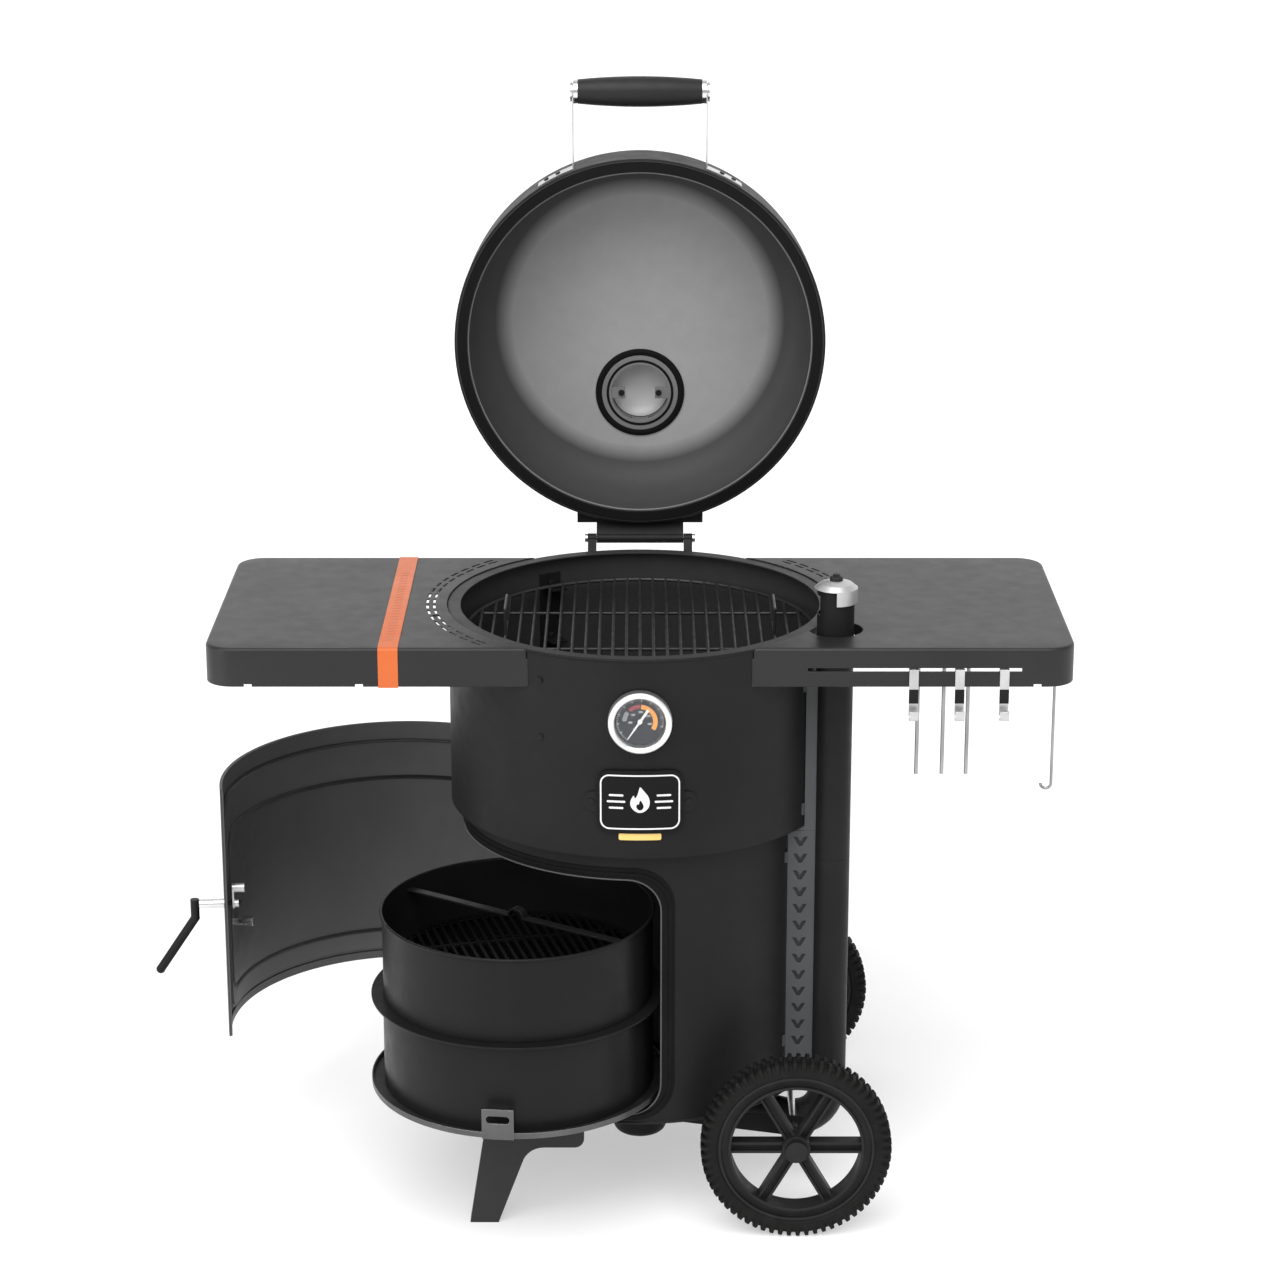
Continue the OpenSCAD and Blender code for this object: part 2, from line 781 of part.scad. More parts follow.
module latch_handle() {
    bend_drop = 24;
    slope = atan2(lever_tip_out - lever_out, latch_z - bend_drop - lever_tip_z);
    run = norm([lever_tip_out - lever_out, latch_z - bend_drop - lever_tip_z]);
    color("#1d1d1e") open_door() {
        radial(latch_shaft_r, latch_az, latch_z, [cam_r[0] - 10, lever_out]);
        rotate([0, 0, latch_az]) {
            translate([lever_out, 0, latch_z - bend_drop]) {
                cylinder(r = lever_r, h = bend_drop + 8);
                sphere(r = lever_ball_r);
                rotate([0, 180 - slope, 0]) cylinder(r = lever_r, h = run);
            }
            translate([lever_tip_out, 0, lever_tip_z]) sphere(r = lever_ball_r);
        }
    }
}

module latch_cam() {
    color(grey_steel) open_door() difference() {
        union() {
            rotate([0, 0, latch_az]) translate([cam_r[0], 0, latch_z]) rotate([0, 90, 0])
                linear_extrude(cam_r[1] - cam_r[0]) union() {
                    circle(9);
                    translate([-cam_arm, -roller_r]) square([cam_arm, 2 * roller_r]);
                    translate([-cam_arm, 0]) circle(roller_r);
                }
            radial(roller_r, latch_az, latch_z + cam_arm, [cam_r[0] - 17, cam_r[0] + 1]);
            radial(7, latch_az, latch_z, [cam_r[0] - 7, cam_r[0] + 1]);
        }
        radial(latch_shaft_r, latch_az, latch_z, [cam_r[0] - 30, cam_r[1] + 5]);
    }
}

// ---- Fire tray, ash pan and basket ----

module tray_pivot() {
    color(grey_steel) place() translate([pivot_x, pivot_y, floor_z + sheet]) {
        cylinder(r = lug_r, h = tray_z - floor_z - sheet - part_gap);
        cylinder(r = pivot_r, h = tray_z + tray_lip - floor_z);
        translate([0, 0, tray_z + tray_lip - floor_z - sheet + part_gap])
            cylinder(r = pivot_r + 3, h = 3);
    }
}

module swing_tray() {
    color(grey_steel) swing_out() difference() {
        union() {
            translate([0, 0, tray_z]) cylinder(r = tray_r, h = sheet);
            tube(tray_r, tray_r - 2.5, [tray_z, tray_z + tray_lip]);
            rotate([0, 0, tab_az]) translate([tray_r - 1, -tab_w / 2, tray_z])
                cube([4, tab_w, tab_h]);
            difference() {
                translate([pivot_x, pivot_y, tray_z]) cylinder(r = lug_r, h = tray_lip);
                translate([0, 0, tray_z + sheet]) cylinder(r = pan_flange_r - 4, h = tray_lip);
            }
        }
        translate([pivot_x, pivot_y, tray_z - 1]) cylinder(r = pivot_r + run_gap, h = tray_lip + 2);
        rotate([0, 0, tab_az]) translate([tray_r - 6, 0, tray_z + 32]) rotate([0, 90, 0]) {
            for (s = [-1, 1]) translate([0, s * 12, 0]) cylinder(r = 6.25, h = 12);
            translate([-6.25, -12, 0]) cube([12.5, 24, 12]);
        }
    }
}

module ash_pan() {
    color(enamel) swing_out() {
        tube(pan_r, pan_r - 1.5, [pan_z, pan_top]);
        translate([0, 0, pan_z]) cylinder(r = pan_r, h = 1.5);
        tube(pan_flange_r, pan_r - 1, [pan_top - 2, pan_top]);
        translate([0, 0, pan_top - 2]) torus(pan_flange_r - 2, 2);
    }
}

module fire_basket() {
    inner = basket_wall_r - 1.5;
    color(enamel) swing_out() {
        tube(basket_wall_r, inner, [pan_top + part_gap, basket_rim_z - basket_bead_r]);
        tube(basket_wall_r, basket_wall_r - 5, [pan_top + part_gap, pan_top + 2.3]);
        tube(basket_wall_r - 3, basket_wall_r - 5, [pan_top - 8, pan_top + 1]);
        translate([0, 0, basket_rim_z - basket_bead_r]) torus(basket_wall_r + 1, basket_bead_r);
        tube(inner + 0.5, inner - 8, [grid_z - 2.2, grid_z - 0.2]);
        rotate([0, 0, strip_az]) {
            for (s = [-1, 1]) translate([s > 0 ? 13 : -inner - 0.5, -strip_w / 2, strip_z])
                cube([inner - 12.5, strip_w, 3]);
            translate([0, strip_w / 2, strip_z]) rotate([90, 0, 0])
                difference() {
                    cylinder(r = 16, h = strip_w);
                    translate([0, 0, -1]) cylinder(r = 13, h = strip_w + 2);
                    translate([-20, -40, -1]) cube([40, 40, strip_w + 2]);
                }
        }
    }
}

module basket_grid() {
    r = basket_wall_r - 2.5;
    bar_count = 14;
    color(enamel) swing_out() translate([0, 0, grid_z]) linear_extrude(5) rotate([0, 0, 39]) union() {
        difference() {
            circle(r);
            circle(r - 6);
        }
        intersection() {
            circle(r - 2);
            union() {
                for (i = [-bar_count : bar_count]) translate([-r, i * 14.4 - 2.5]) square([2 * r, 5]);
                for (x = [-90, 90]) translate([x - 3, -r]) square([6, 2 * r]);
            }
        }
    }
}

// ---- Cooking grate, on the upper of its two bracket levels ----

module cooking_grate() {
    rows = floor((grate_r - 8) / grate_pitch);
    color(black) place() translate([0, 0, grate_levels[0]]) {
        torus(grate_r, grate_wire);
        for (i = [-rows : rows]) let (x = i * grate_pitch, half = sqrt(pow(grate_r, 2) - pow(x, 2)))
            translate([x, -half, 0]) rotate([-90, 0, 0])
                cylinder(r = grate_bar, h = 2 * half, $fn = 12);
        for (y = [-95, 95]) let (half = sqrt(pow(grate_r, 2) - pow(y, 2)))
            translate([-half, y, -4]) rotate([0, 90, 0]) cylinder(r = grate_bar, h = 2 * half, $fn = 12);
        for (s = [-1, 1]) translate([s * 10 * grate_pitch, 0, 0]) {
            for (y = [-38, 38]) translate([0, y, 0]) cylinder(r = grate_bar, h = 43);
            for (y = [-38, 38]) translate([0, y, 43]) sphere(r = grate_bar);
            translate([0, -38, 43]) rotate([-90, 0, 0]) cylinder(r = grate_bar, h = 76);
        }
    }
}

// ---- Air intake ----

module intake_run(r, extra) {
    translate([0, 0, bend_z]) cylinder(r = r, h = pipe_top - bend_z + extra);
    rotate([0, 0, pipe_az]) {
        translate([bend_r, 0, bend_z]) rotate([90, 0, 180]) rotate_extrude(angle = -90)
            translate([bend_r, 0]) circle(r);
        translate([bend_r, 0, duct_z]) rotate([0, 90, 0])
            cylinder(r = r, h = pipe_reach - bend_r - 36 + extra);
    }
}

module intake_pipe() {
    color(black) place() translate([pipe_x, pipe_y, 0]) {
        difference() {
            intake_run(pipe_r, 0);
            intake_run(pipe_in, 1);
            sector([pipe_in - 4, pipe_r + 4], [pipe_top - 38, pipe_top - 8], [120, 210]);
            tube(pipe_r + 1, pipe_in - 1, [pipe_seam, pipe_seam + part_gap]);
        }
        difference() {
            translate([0, 0, pipe_top - 2]) cylinder(r = pipe_in + sheet / 2, h = 2);
            translate([0, 0, pipe_top - 3]) cylinder(r = knob_stem_r + run_gap, h = 4);
        }
    }
}

module intake_sump() {
    round_r = 14;
    base_z = 29;
    color(black) place() difference() {
        union() {
            translate([0, 0, base_z + round_r]) cylinder(r = cup_r, h = floor_z - base_z - round_r);
            translate([0, 0, base_z]) cylinder(r = cup_r - round_r, h = round_r);
            translate([0, 0, base_z + round_r]) torus(cup_r - round_r, round_r);
            tube(cup_r + 12, cup_r - 1, [floor_z - 2.5, floor_z]);
        }
        translate([0, 0, base_z + sheet]) cylinder(r = cup_r - round_r, h = floor_z);
        translate([0, 0, base_z + round_r]) cylinder(r = cup_r - sheet, h = floor_z);
        rotate([0, 0, pipe_az + 180]) translate([0, 0, duct_z]) rotate([0, 90, 0])
            cylinder(r = pipe_r, h = 80);
    }
}

module pipe_clamps() {
    color(black) place() translate([pipe_x, pipe_y, 0]) for (z = clamp_z) {
        sector([pipe_r, pipe_r + 2], [z, z + clamp_h], [20, 184]);
        translate([-pipe_r - 9.5, rail_y - pipe_y, z + 1]) cube([9, 9, clamp_h - 2]);
    }
}

// A downward-pointing V
module chevron() {
    polygon([[-11, 9], [-5, 9], [0, 1], [5, 9], [11, 9], [2.5, -6], [-2.5, -6]]);
}

module pipe_rails() {
    chevrons = 13;
    upper_x = sqrt(pow(upper_r, 2) - pow(rail_y, 2));
    lower_x = sqrt(pow(lower_r, 2) - pow(rail_y, 2));
    color("#4b4f4e") place() {
        difference() {
            union() {
                translate([0, rail_y, 0]) rotate([90, 0, 0]) linear_extrude(rail_t) difference() {
                    translate([lower_x + 1, rail_foot])
                        square([pipe_x - lower_x, rail_split - rail_foot]);
                    for (i = [0 : chevrons - 1])
                        translate([rail_mid, chevron_top - chevron_pitch * i]) chevron();
                }
                translate([upper_x + 1, rail_y - rail_t, rail_split + part_gap])
                    cube([pipe_x - upper_x, rail_t, table_z - apron_h - rail_split - 4]);
            }
            translate([pipe_x, pipe_y, 200]) cylinder(r = pipe_r, h = table_z);
        }
        for (z = [640, 840]) rotate([0, 0, atan2(rail_y, upper_x)])
            sector([upper_r, upper_r + 2.5], [z, z + 18], [-1.5, 1]);
        for (z = [250, 560]) rotate([0, 0, atan2(rail_y, lower_x)])
            sector([lower_r, lower_r + 2.5], [z, z + 18], [-1.5, 1]);
    }
}

module damper_cap() {
    color(steel) place() translate([pipe_x, pipe_y, cap_z]) {
        rotate_extrude() polygon(concat(cap_steps, [[knob_stem_r, 11.5], [knob_stem_r, 9.5],
            [11, 9.5], [cap_steps[1][0] - 1.6, 5.7], [cap_r - 1.6, 0]]));
        sector([cap_r - 1.5, cap_r], [-22, 0.5], [-91, 35]);
    }
}

module damper_knob() {
    color("#1d1d1e") place() translate([pipe_x, pipe_y, cap_z]) {
        translate([0, 0, -8]) cylinder(r = knob_stem_r, h = 28);
        translate([0, 0, 11.5]) cylinder(r = 10, h = 4.5);
        translate([0, 0, 16]) cylinder(r1 = 10, r2 = 7.5, h = 2);
        translate([0, 0, 17]) cylinder(r = 5, h = 4, $fn = 6);
    }
}

// ---- Wheels ----

module along_axle(y) {
    place() translate([axle_x, y, axle_z]) rotate([-90, 0, 0]) children();
}

module axle() {
    color(grey_steel) along_axle(-wheel_y) cylinder(r = axle_r, h = 2 * wheel_y);
}

module axle_brackets() {
    color(black) place() for (s = [-1, 1]) difference() {
        union() {
            translate([0, s * axle_bracket_y + 2, 0]) rotate([90, 0, 0]) linear_extrude(4)
                polygon([[40, floor_z], [140, floor_z], [258, 163], [262, 148], [254, 134],
                    [228, 132], [60, 155], [40, 160]]);
            translate([40, s > 0 ? axle_bracket_y - 40 : -axle_bracket_y - 2, floor_z - 3])
                cube([90, 42, 3]);
        }
        translate([axle_x, s * axle_bracket_y - 10, axle_z]) rotate([-90, 0, 0])
            cylinder(r = axle_r, h = 20);
    }
}

module hub_caps() {
    color(grey_steel) for (s = [-1, 1]) along_axle(s * (wheel_y + 1)) difference() {
        translate([0, 0, s > 0 ? -3 : -5]) cylinder(r = 17, h = 8);
        translate([0, 0, s > 0 ? -20 : -1]) cylinder(r = axle_r, h = 21);
    }
}

module rim() {
    difference() {
        union() {
            cylinder(r = hub_r, h = 38, center = true);
            difference() {
                cylinder(r = rim_r, h = 36, center = true);
                cylinder(r = rim_in, h = 40, center = true);
                for (s = [-1, 1]) translate([0, 0, s * 18]) difference() {
                    cylinder(r = rim_r - 4, h = 16, center = true);
                    cylinder(r = rim_in + 4, h = 20, center = true);
                }
            }
            for (i = [0 : 5]) rotate([0, 0, 60 * i]) {
                translate([hub_r - 3, -9, -3]) cube([rim_in - hub_r + 6, 18, 6]);
                for (y = [-9, 5]) translate([hub_r - 3, y, -11]) cube([rim_in - hub_r + 6, 4, 22]);
            }
        }
        cylinder(r = axle_r + run_gap, h = 60, center = true);
    }
}

module tyre() {
    corner = 7;
    rotate_extrude() union() {
        translate([rim_r, -tyre_w / 2]) square([wheel_r - rim_r - corner, tyre_w]);
        translate([rim_r, corner - tyre_w / 2]) square([wheel_r - rim_r, tyre_w - 2 * corner]);
        for (s = [-1, 1]) translate([wheel_r - corner, s * (tyre_w / 2 - corner)])
            circle(corner, $fn = 32);
    }
}

module front_rim() {
    color(black) along_axle(-wheel_mid) rim();
}

module rear_rim() {
    color(black) along_axle(wheel_mid) rim();
}

module front_tyre() {
    color("#1e1e1f") along_axle(-wheel_mid) tyre();
}

module rear_tyre() {
    color("#1e1e1f") along_axle(wheel_mid) tyre();
}

// ---- Legs ----

module leg_plate() {
    // Foot, outer edge, top edge, and the fillet under the cross piece
    polygon(concat([[-266.5, 0], [-240, floor_z], [-87, floor_z]],
        arc(-102, 144, 15, 0, -90), arc(-150, 94, 35, 90, 155), [[-222, 0]]));
}

module leg(side) {
    y = side * 278;
    color(black) place() {
        translate([0, y + 1.5, 0]) rotate([90, 0, 0]) linear_extrude(3) leg_plate();
        translate([0, side > 0 ? y + 1.5 : y + 23.5, 0]) rotate([90, 0, 0]) linear_extrude(25)
            polygon([[-266.5, 0], [-240, floor_z], [-236.5, floor_z], [-263, 0]]);
        translate([-240, side > 0 ? 170 : -279.5, floor_z - 3]) cube([150, 109.5, 3]);
    }
}

module front_leg() {
    leg(-1);
}

module rear_leg() {
    leg(1);
}

// ---- Tools hung from the right table ----

module tool_hooks() {
    front = -table_y - 1.2;
    color(steel) place() for (x = [411, 480, 547]) translate([x - 7, 0, 0]) rotate([90, 0, 90])
        linear_extrude(14) union() {
            translate([front - 2, 834]) square([2, 69]);
            translate([front - 2, 901]) square([13.5, 2]);
            translate([front + 9.5, 889]) square([2, 14]);
            translate([front - 9, 834]) difference() {
                circle(9, $fn = 48);
                circle(7, $fn = 48);
                translate([-10, 0]) square([20, 10]);
            }
            translate([front - 18, 834]) square([2, 8]);
        }
}

module hanging_tools() {
    color(steel) place() {
        for (x = [422, 461, 498]) translate([x, tool_y, 720]) cylinder(r = 3, h = 212);
        translate([412, tool_y - 4, 931]) cube([96, 8, 2.5]);
        translate([629, tool_y, 0]) {
            translate([0, 0, 704]) cylinder(r = 2.25, h = 228);
            translate([-8, 0, 704]) rotate([90, 0, 0]) rotate_extrude(angle = -180)
                translate([8, 0]) circle(2.25, $fn = 24);
            translate([-8, -5, 931]) cube([16, 10, 2.5]);
        }
    }
}

upper_drum();
lower_drum();
door_frame();
left_table();
right_table();
accent_band();
grate_brackets();
drum_bolts();
thermometer_case();
thermometer_dial();
thermometer_glass();
thermometer_needle();
thermometer_nut();
badge_bracket();
badge_plate();
badge_bar();
badge_rivets();
lid_hinge_base();
lid_hinge_pin();
door_hinge_leaves();
door_hinge_pins();
intake_pipe();
intake_sump();
pipe_clamps();
pipe_rails();
damper_cap();
damper_knob();
axle();
axle_brackets();
hub_caps();
front_rim();
rear_rim();
front_tyre();
rear_tyre();
front_leg();
rear_leg();
tray_pivot();
tool_hooks();
hanging_tools();
lid_shell();
lid_gasket();
lid_hinge_leaf();
handle_grip();
handle_end_caps();
handle_brackets();
lid_screws();
exhaust_collar();
exhaust_damper();
exhaust_cap();
door_skin();
door_liner();
door_hinge_straps();
latch_posts();
latch_handle();
latch_cam();
swing_tray();
ash_pan();
fire_basket();
basket_grid();
cooking_grate();
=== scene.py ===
import json
import math

import bpy
from mathutils import Matrix, Vector
from mathutils.geometry import tessellate_polygon


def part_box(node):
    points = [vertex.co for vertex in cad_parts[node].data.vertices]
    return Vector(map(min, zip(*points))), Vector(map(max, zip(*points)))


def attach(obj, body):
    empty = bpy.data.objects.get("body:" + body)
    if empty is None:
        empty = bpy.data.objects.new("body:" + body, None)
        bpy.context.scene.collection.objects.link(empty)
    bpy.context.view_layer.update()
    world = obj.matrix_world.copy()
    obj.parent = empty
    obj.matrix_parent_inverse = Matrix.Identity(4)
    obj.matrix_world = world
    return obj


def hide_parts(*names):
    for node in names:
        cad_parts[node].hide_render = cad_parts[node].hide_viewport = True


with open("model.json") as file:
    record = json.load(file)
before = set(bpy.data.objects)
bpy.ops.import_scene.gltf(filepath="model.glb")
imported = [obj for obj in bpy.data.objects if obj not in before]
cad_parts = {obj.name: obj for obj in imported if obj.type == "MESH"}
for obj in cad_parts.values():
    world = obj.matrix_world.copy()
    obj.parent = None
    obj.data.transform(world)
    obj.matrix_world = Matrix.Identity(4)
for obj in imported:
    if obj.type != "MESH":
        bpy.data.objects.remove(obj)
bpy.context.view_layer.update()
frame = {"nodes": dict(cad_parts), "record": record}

# Everything below is in millimetres about the drum's axis; at() turns it into the shared frame.
drum_low, drum_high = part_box("upper_drum")
AXIS = Vector(((drum_low.x + drum_high.x) / 2, (drum_low.y + drum_high.y) / 2, 0))

HINGE_TURN, HINGE_R = math.radians(121), 290
DOOR_HINGE = Vector((HINGE_R * math.cos(HINGE_TURN), HINGE_R * math.sin(HINGE_TURN), 0))
DOOR_OPEN = Matrix.Rotation(math.radians(-88), 3, "Z")
LID_HINGE = Vector((0, 330, 945))
LID_OPEN = Matrix.Rotation(math.radians(-90), 3, "X")
LID_R, LID_H, LID_ROLL, LID_BASE = 300, 182, 80, 937
VENT = Vector((0, 122, LID_BASE))
FRONT = math.radians(270)
# Radii that part a wall's inner face from its outer one
UPPER_WALL, DOOR_WALL = 298.8, 287.3


def at(p):
    return AXIS + Vector(p) / 1000


def still(p):
    return Vector(p)


def on_door(p):
    """A point of the closed door, where the open door has it."""
    return DOOR_HINGE + DOOR_OPEN @ (Vector(p) - DOOR_HINGE)


def on_lid(p):
    """A point of the closed lid, where the open lid has it."""
    return LID_HINGE + LID_OPEN @ (Vector(p) - LID_HINGE)


DOOR_AXIS = on_door((0, 0, 0))

# ---------------------------------------------------------------- materials


class Finish:
    """One material and the nodes that make it."""

    def __init__(self, name):
        self.material = bpy.data.materials.new(name)
        self.material.use_nodes = True
        self.tree = self.material.node_tree
        self.tree.nodes.clear()
        self.point = self.node("ShaderNodeTexCoord").outputs["Object"]

    def node(self, kind, inputs=None, **settings):
        made = self.tree.nodes.new(kind)
        for key, value in settings.items():
            setattr(made, key, value)
        for key, value in (inputs or {}).items():
            if isinstance(value, bpy.types.NodeSocket):
                self.tree.links.new(value, made.inputs[key])
            else:
                made.inputs[key].default_value = value
        return made

    def noise(self, scale, detail=2.0, stretch=None, distortion=0.0):
        point = self.point
        if stretch:
            point = self.node("ShaderNodeMapping", {"Vector": point, "Scale": stretch}).outputs[0]
        return self.node(
            "ShaderNodeTexNoise",
            {"Vector": point, "Scale": scale, "Detail": detail, "Distortion": distortion},
        ).outputs["Fac"]

    def cells(self, scale):
        inputs = {"Vector": self.point, "Scale": scale}
        return self.node("ShaderNodeTexVoronoi", inputs).outputs["Distance"]

    def span(self, value, low, high, to_low=0.0, to_high=1.0):
        return self.node(
            "ShaderNodeMapRange",
            {0: value, 1: low, 2: high, 3: to_low, 4: to_high},
        ).outputs[0]

    def calc(self, operation, a, b=0.0):
        return self.node("ShaderNodeMath", {0: a, 1: b}, operation=operation).outputs[0]

    def about(self, centre):
        """The coordinates from a centre in metres."""
        shift = self.node(
            "ShaderNodeVectorMath", {0: self.point, 1: tuple(-centre)}, operation="ADD"
        ).outputs[0]
        return self.node("ShaderNodeSeparateXYZ", {0: shift}).outputs

    def length(self, a, b):
        squares = self.calc("ADD", self.calc("MULTIPLY", a, a), self.calc("MULTIPLY", b, b))
        return self.calc("SQRT", squares)

    def mix(self, factor, a, b):
        return self.node("ShaderNodeMix", {0: factor, 6: a, 7: b}, data_type="RGBA").outputs[2]

    def soft_edges(self, radius):
        """The normal with its sharp edges rounded, and a mask of where those edges are."""
        rounded = self.node("ShaderNodeBevel", {"Radius": radius}, samples=4).outputs[0]
        true = self.node("ShaderNodeNewGeometry").outputs["Normal"]
        turn = self.node(
            "ShaderNodeVectorMath", {0: rounded, 1: true}, operation="DOT_PRODUCT"
        ).outputs["Value"]
        return rounded, self.span(turn, 0.97, 0.86)

    def bump(self, height, distance, normal=None):
        inputs = {"Height": height, "Distance": distance, "Strength": 1.0}
        if normal is not None:
            inputs["Normal"] = normal
        return self.node("ShaderNodeBump", inputs).outputs[0]

    def done(self, **sockets):
        shader = self.node(
            "ShaderNodeBsdfPrincipled", {k.replace("_", " "): v for k, v in sockets.items()}
        )
        out = self.node("ShaderNodeOutputMaterial")
        self.tree.links.new(shader.outputs[0], out.inputs[0])
        return self.material


def grey(value, warm=0.0):
    return (value * (1 + warm), value, value * (1 - warm), 1)


def coated(name, dark, light, rough, peel, edge_light, specular, edge=0.0012, streak=0.0,
           masks=None):
    """Sprayed or dipped paint on sheet metal: slow colour drift, orange peel, rubbed edges."""
    f = Finish(name)
    drift = f.noise(5, 3)
    cloud = f.noise(38, 3)
    colour = f.mix(f.span(drift, 0.35, 0.65), dark, light)
    if streak:
        runs = f.noise(26, 2, stretch=(1, 1, 0.08))
        colour = f.mix(f.span(runs, 0.5, 0.75, 0, streak), colour, light)
    for mask, inside in masks(f) if masks else []:
        lighter = tuple(c * 1.06 for c in inside[:3]) + (1,)
        flecks = f.mix(f.span(cloud, 0.3, 0.7), inside, lighter)
        colour = f.mix(mask, colour, flecks)
    rounded, edges = f.soft_edges(edge)
    rub = f.calc("MULTIPLY", edges, f.span(f.noise(60, 4), 0.45, 0.7, 0, 0.8))
    colour = f.mix(rub, colour, edge_light)
    roughness = f.span(cloud, 0.3, 0.7, *rough)
    grain = f.calc("ADD", f.noise(650, 2), f.calc("MULTIPLY", f.noise(90, 2), 0.8))
    return f.done(
        Base_Color=colour,
        Roughness=roughness,
        Specular_IOR_Level=specular,
        Normal=f.bump(grain, peel, rounded),
    )


def lid_inside(f):
    """Inner face of the open lid, with painted shade on the dome's wall: the depth of a point
    under the dome's outer skin.
    """
    x, y, z = f.about(AXIS)
    closed_y = f.calc("SUBTRACT", (LID_HINGE.z + LID_HINGE.y) / 1000, z)
    closed_h = f.calc("ADD", y, (LID_HINGE.z - LID_HINGE.y - LID_BASE) / 1000)
    radius = f.length(x, closed_y)
    over_r = f.calc("SUBTRACT", radius, (LID_R - LID_ROLL) / 1000)
    over_h = f.calc("SUBTRACT", closed_h, (LID_H - LID_ROLL) / 1000)
    corner = f.length(f.calc("MAXIMUM", over_r, 0), f.calc("MAXIMUM", over_h, 0))
    inner = f.calc("MINIMUM", f.calc("MAXIMUM", over_r, over_h), 0)
    depth = f.calc("SUBTRACT", f.calc("ADD", corner, inner), LID_ROLL / 1000)
    inside = f.calc("LESS_THAN", depth, -0.001)
    # Painted shade: the dome's wall is painted darker than its flat top
    wall = f.calc("MULTIPLY", inside, f.span(radius, 0.214, 0.243))
    return [(inside, grey(0.33)), (wall, grey(0.06))]


def drum_inside(f):
    """Everything nearer the drum's axis than the middle of its wall."""
    x, y, _ = f.about(AXIS)
    return [(f.calc("LESS_THAN", f.length(x, y), UPPER_WALL / 1000), grey(0.035))]


def door_inside(f):
    """Inner face of the open door: everything nearer its axis than the skin's middle."""
    x, y, _ = f.about(AXIS + DOOR_AXIS / 1000)
    return [(f.calc("LESS_THAN", f.length(x, y), DOOR_WALL / 1000), grey(0.09))]


# The black coat's colours, roughness, orange peel, rubbed edge and gloss
BLACK_COAT = (grey(0.009), grey(0.012), (0.42, 0.52), 0.00012, grey(0.05), 0.15)

powder = coated("PowderCoat", *BLACK_COAT)
drum_paint = coated("DrumPaint", *BLACK_COAT, masks=drum_inside)
# Lid coat: a lighter grey inner face, with painted shade darkening the dome's inner wall
lid_paint = coated("LidPaint", *BLACK_COAT, masks=lid_inside)
# Near-black for the lid gasket, the door frame and the vent's ring, and painted shade in the
# vent's groove
near_black_and_groove_shade = coated(
    "NearBlackAndGrooveShade", grey(0.004), grey(0.006), (0.5, 0.6), 0.0001, grey(0.02), 0.1)
leg_paint = coated(
    "LegPaint", grey(0.024), grey(0.03), (0.42, 0.52), 0.00012, grey(0.08), 0.22)
table_paint = coated(
    "TablePaint", grey(0.013), grey(0.017), (0.38, 0.44), 0.00012, grey(0.06), 0.34, edge=0.0025)
enamel = coated(
    "Enamel", grey(0.0085), grey(0.011), (0.34, 0.44), 0.0001, grey(0.05), 0.15, streak=0.3)
door_paint = coated(
    "DoorPaint", grey(0.01), grey(0.013), (0.4, 0.5), 0.00012, grey(0.06), 0.18,
    masks=door_inside)
liner_paint = coated(
    "LinerPaint", grey(0.07), grey(0.08), (0.42, 0.55), 0.0001, grey(0.14), 0.3, streak=0.4)
# Light grey for the opening's trim wire, also a painted highlight along the door strip's edge
trim_and_highlight_grey = coated(
    "TrimAndHighlightGrey", grey(0.07), grey(0.09), (0.36, 0.46), 0.00008, grey(0.16), 0.35)
grid_iron = coated(
    "GridIron", grey(0.0035), grey(0.006), (0.4, 0.55), 0.0002, grey(0.03), 0.12, edge=0.0008)
chevron_grey = coated(
    "ChevronGrey", grey(0.022), grey(0.028), (0.45, 0.55), 0.0001, grey(0.06), 0.2)
stud_black = coated(
    "StudBlack", grey(0.006), grey(0.009), (0.4, 0.5), 0.0001, grey(0.04), 0.2)
collar_grey = coated(
    "CollarGrey", grey(0.16), grey(0.2), (0.42, 0.55), 0.0001, grey(0.28), 0.25)
bowl_grey = coated(
    "VentBowlGrey", grey(0.42), grey(0.5), (0.3, 0.4), 0.00005, grey(0.6), 0.5)
rail_paint = coated(
    "RailPaint", grey(0.06, -0.03), grey(0.075, -0.03), (0.45, 0.55), 0.0001, grey(0.14), 0.25)
orange = coated(
    "OrangePaint", (0.58, 0.125, 0.03, 1), (0.63, 0.145, 0.04, 1), (0.36, 0.46), 0.00008,
    (0.93, 0.4, 0.2, 1), 0.3, edge=0.001)
band_print = coated(
    "BandPrint", (0.42, 0.12, 0.05, 1), (0.48, 0.14, 0.06, 1), (0.45, 0.55), 0.00005,
    (0.8, 0.3, 0.15, 1), 0.3, edge=0.0003)
badge_black = coated(
    "BadgeBlack", grey(0.004), grey(0.006), (0.34, 0.44), 0.00004, grey(0.05), 0.14)
badge_gold = coated(
    "BadgeGold", (0.78, 0.52, 0.14, 1), (0.86, 0.6, 0.2, 1), (0.3, 0.42), 0.00005,
    (0.95, 0.75, 0.4, 1), 0.5, edge=0.0006)
white_print = coated(
    "WhitePrint", grey(0.72), grey(0.82), (0.4, 0.5), 0.00003, grey(0.9), 0.4, edge=0.0002)
red_print = coated(
    "RedPrint", (0.24, 0.02, 0.03, 1), (0.3, 0.03, 0.04, 1), (0.4, 0.5), 0.00003,
    (0.4, 0.06, 0.06, 1), 0.4, edge=0.0002)
amber_print = coated(
    "AmberPrint", (0.72, 0.27, 0.035, 1), (0.8, 0.33, 0.06, 1), (0.4, 0.5), 0.00003,
    (0.85, 0.4, 0.1, 1), 0.4, edge=0.0002)
grey_print = coated(
    "GreyPrint", grey(0.2), grey(0.24), (0.4, 0.5), 0.00003, grey(0.3), 0.4, edge=0.0002)
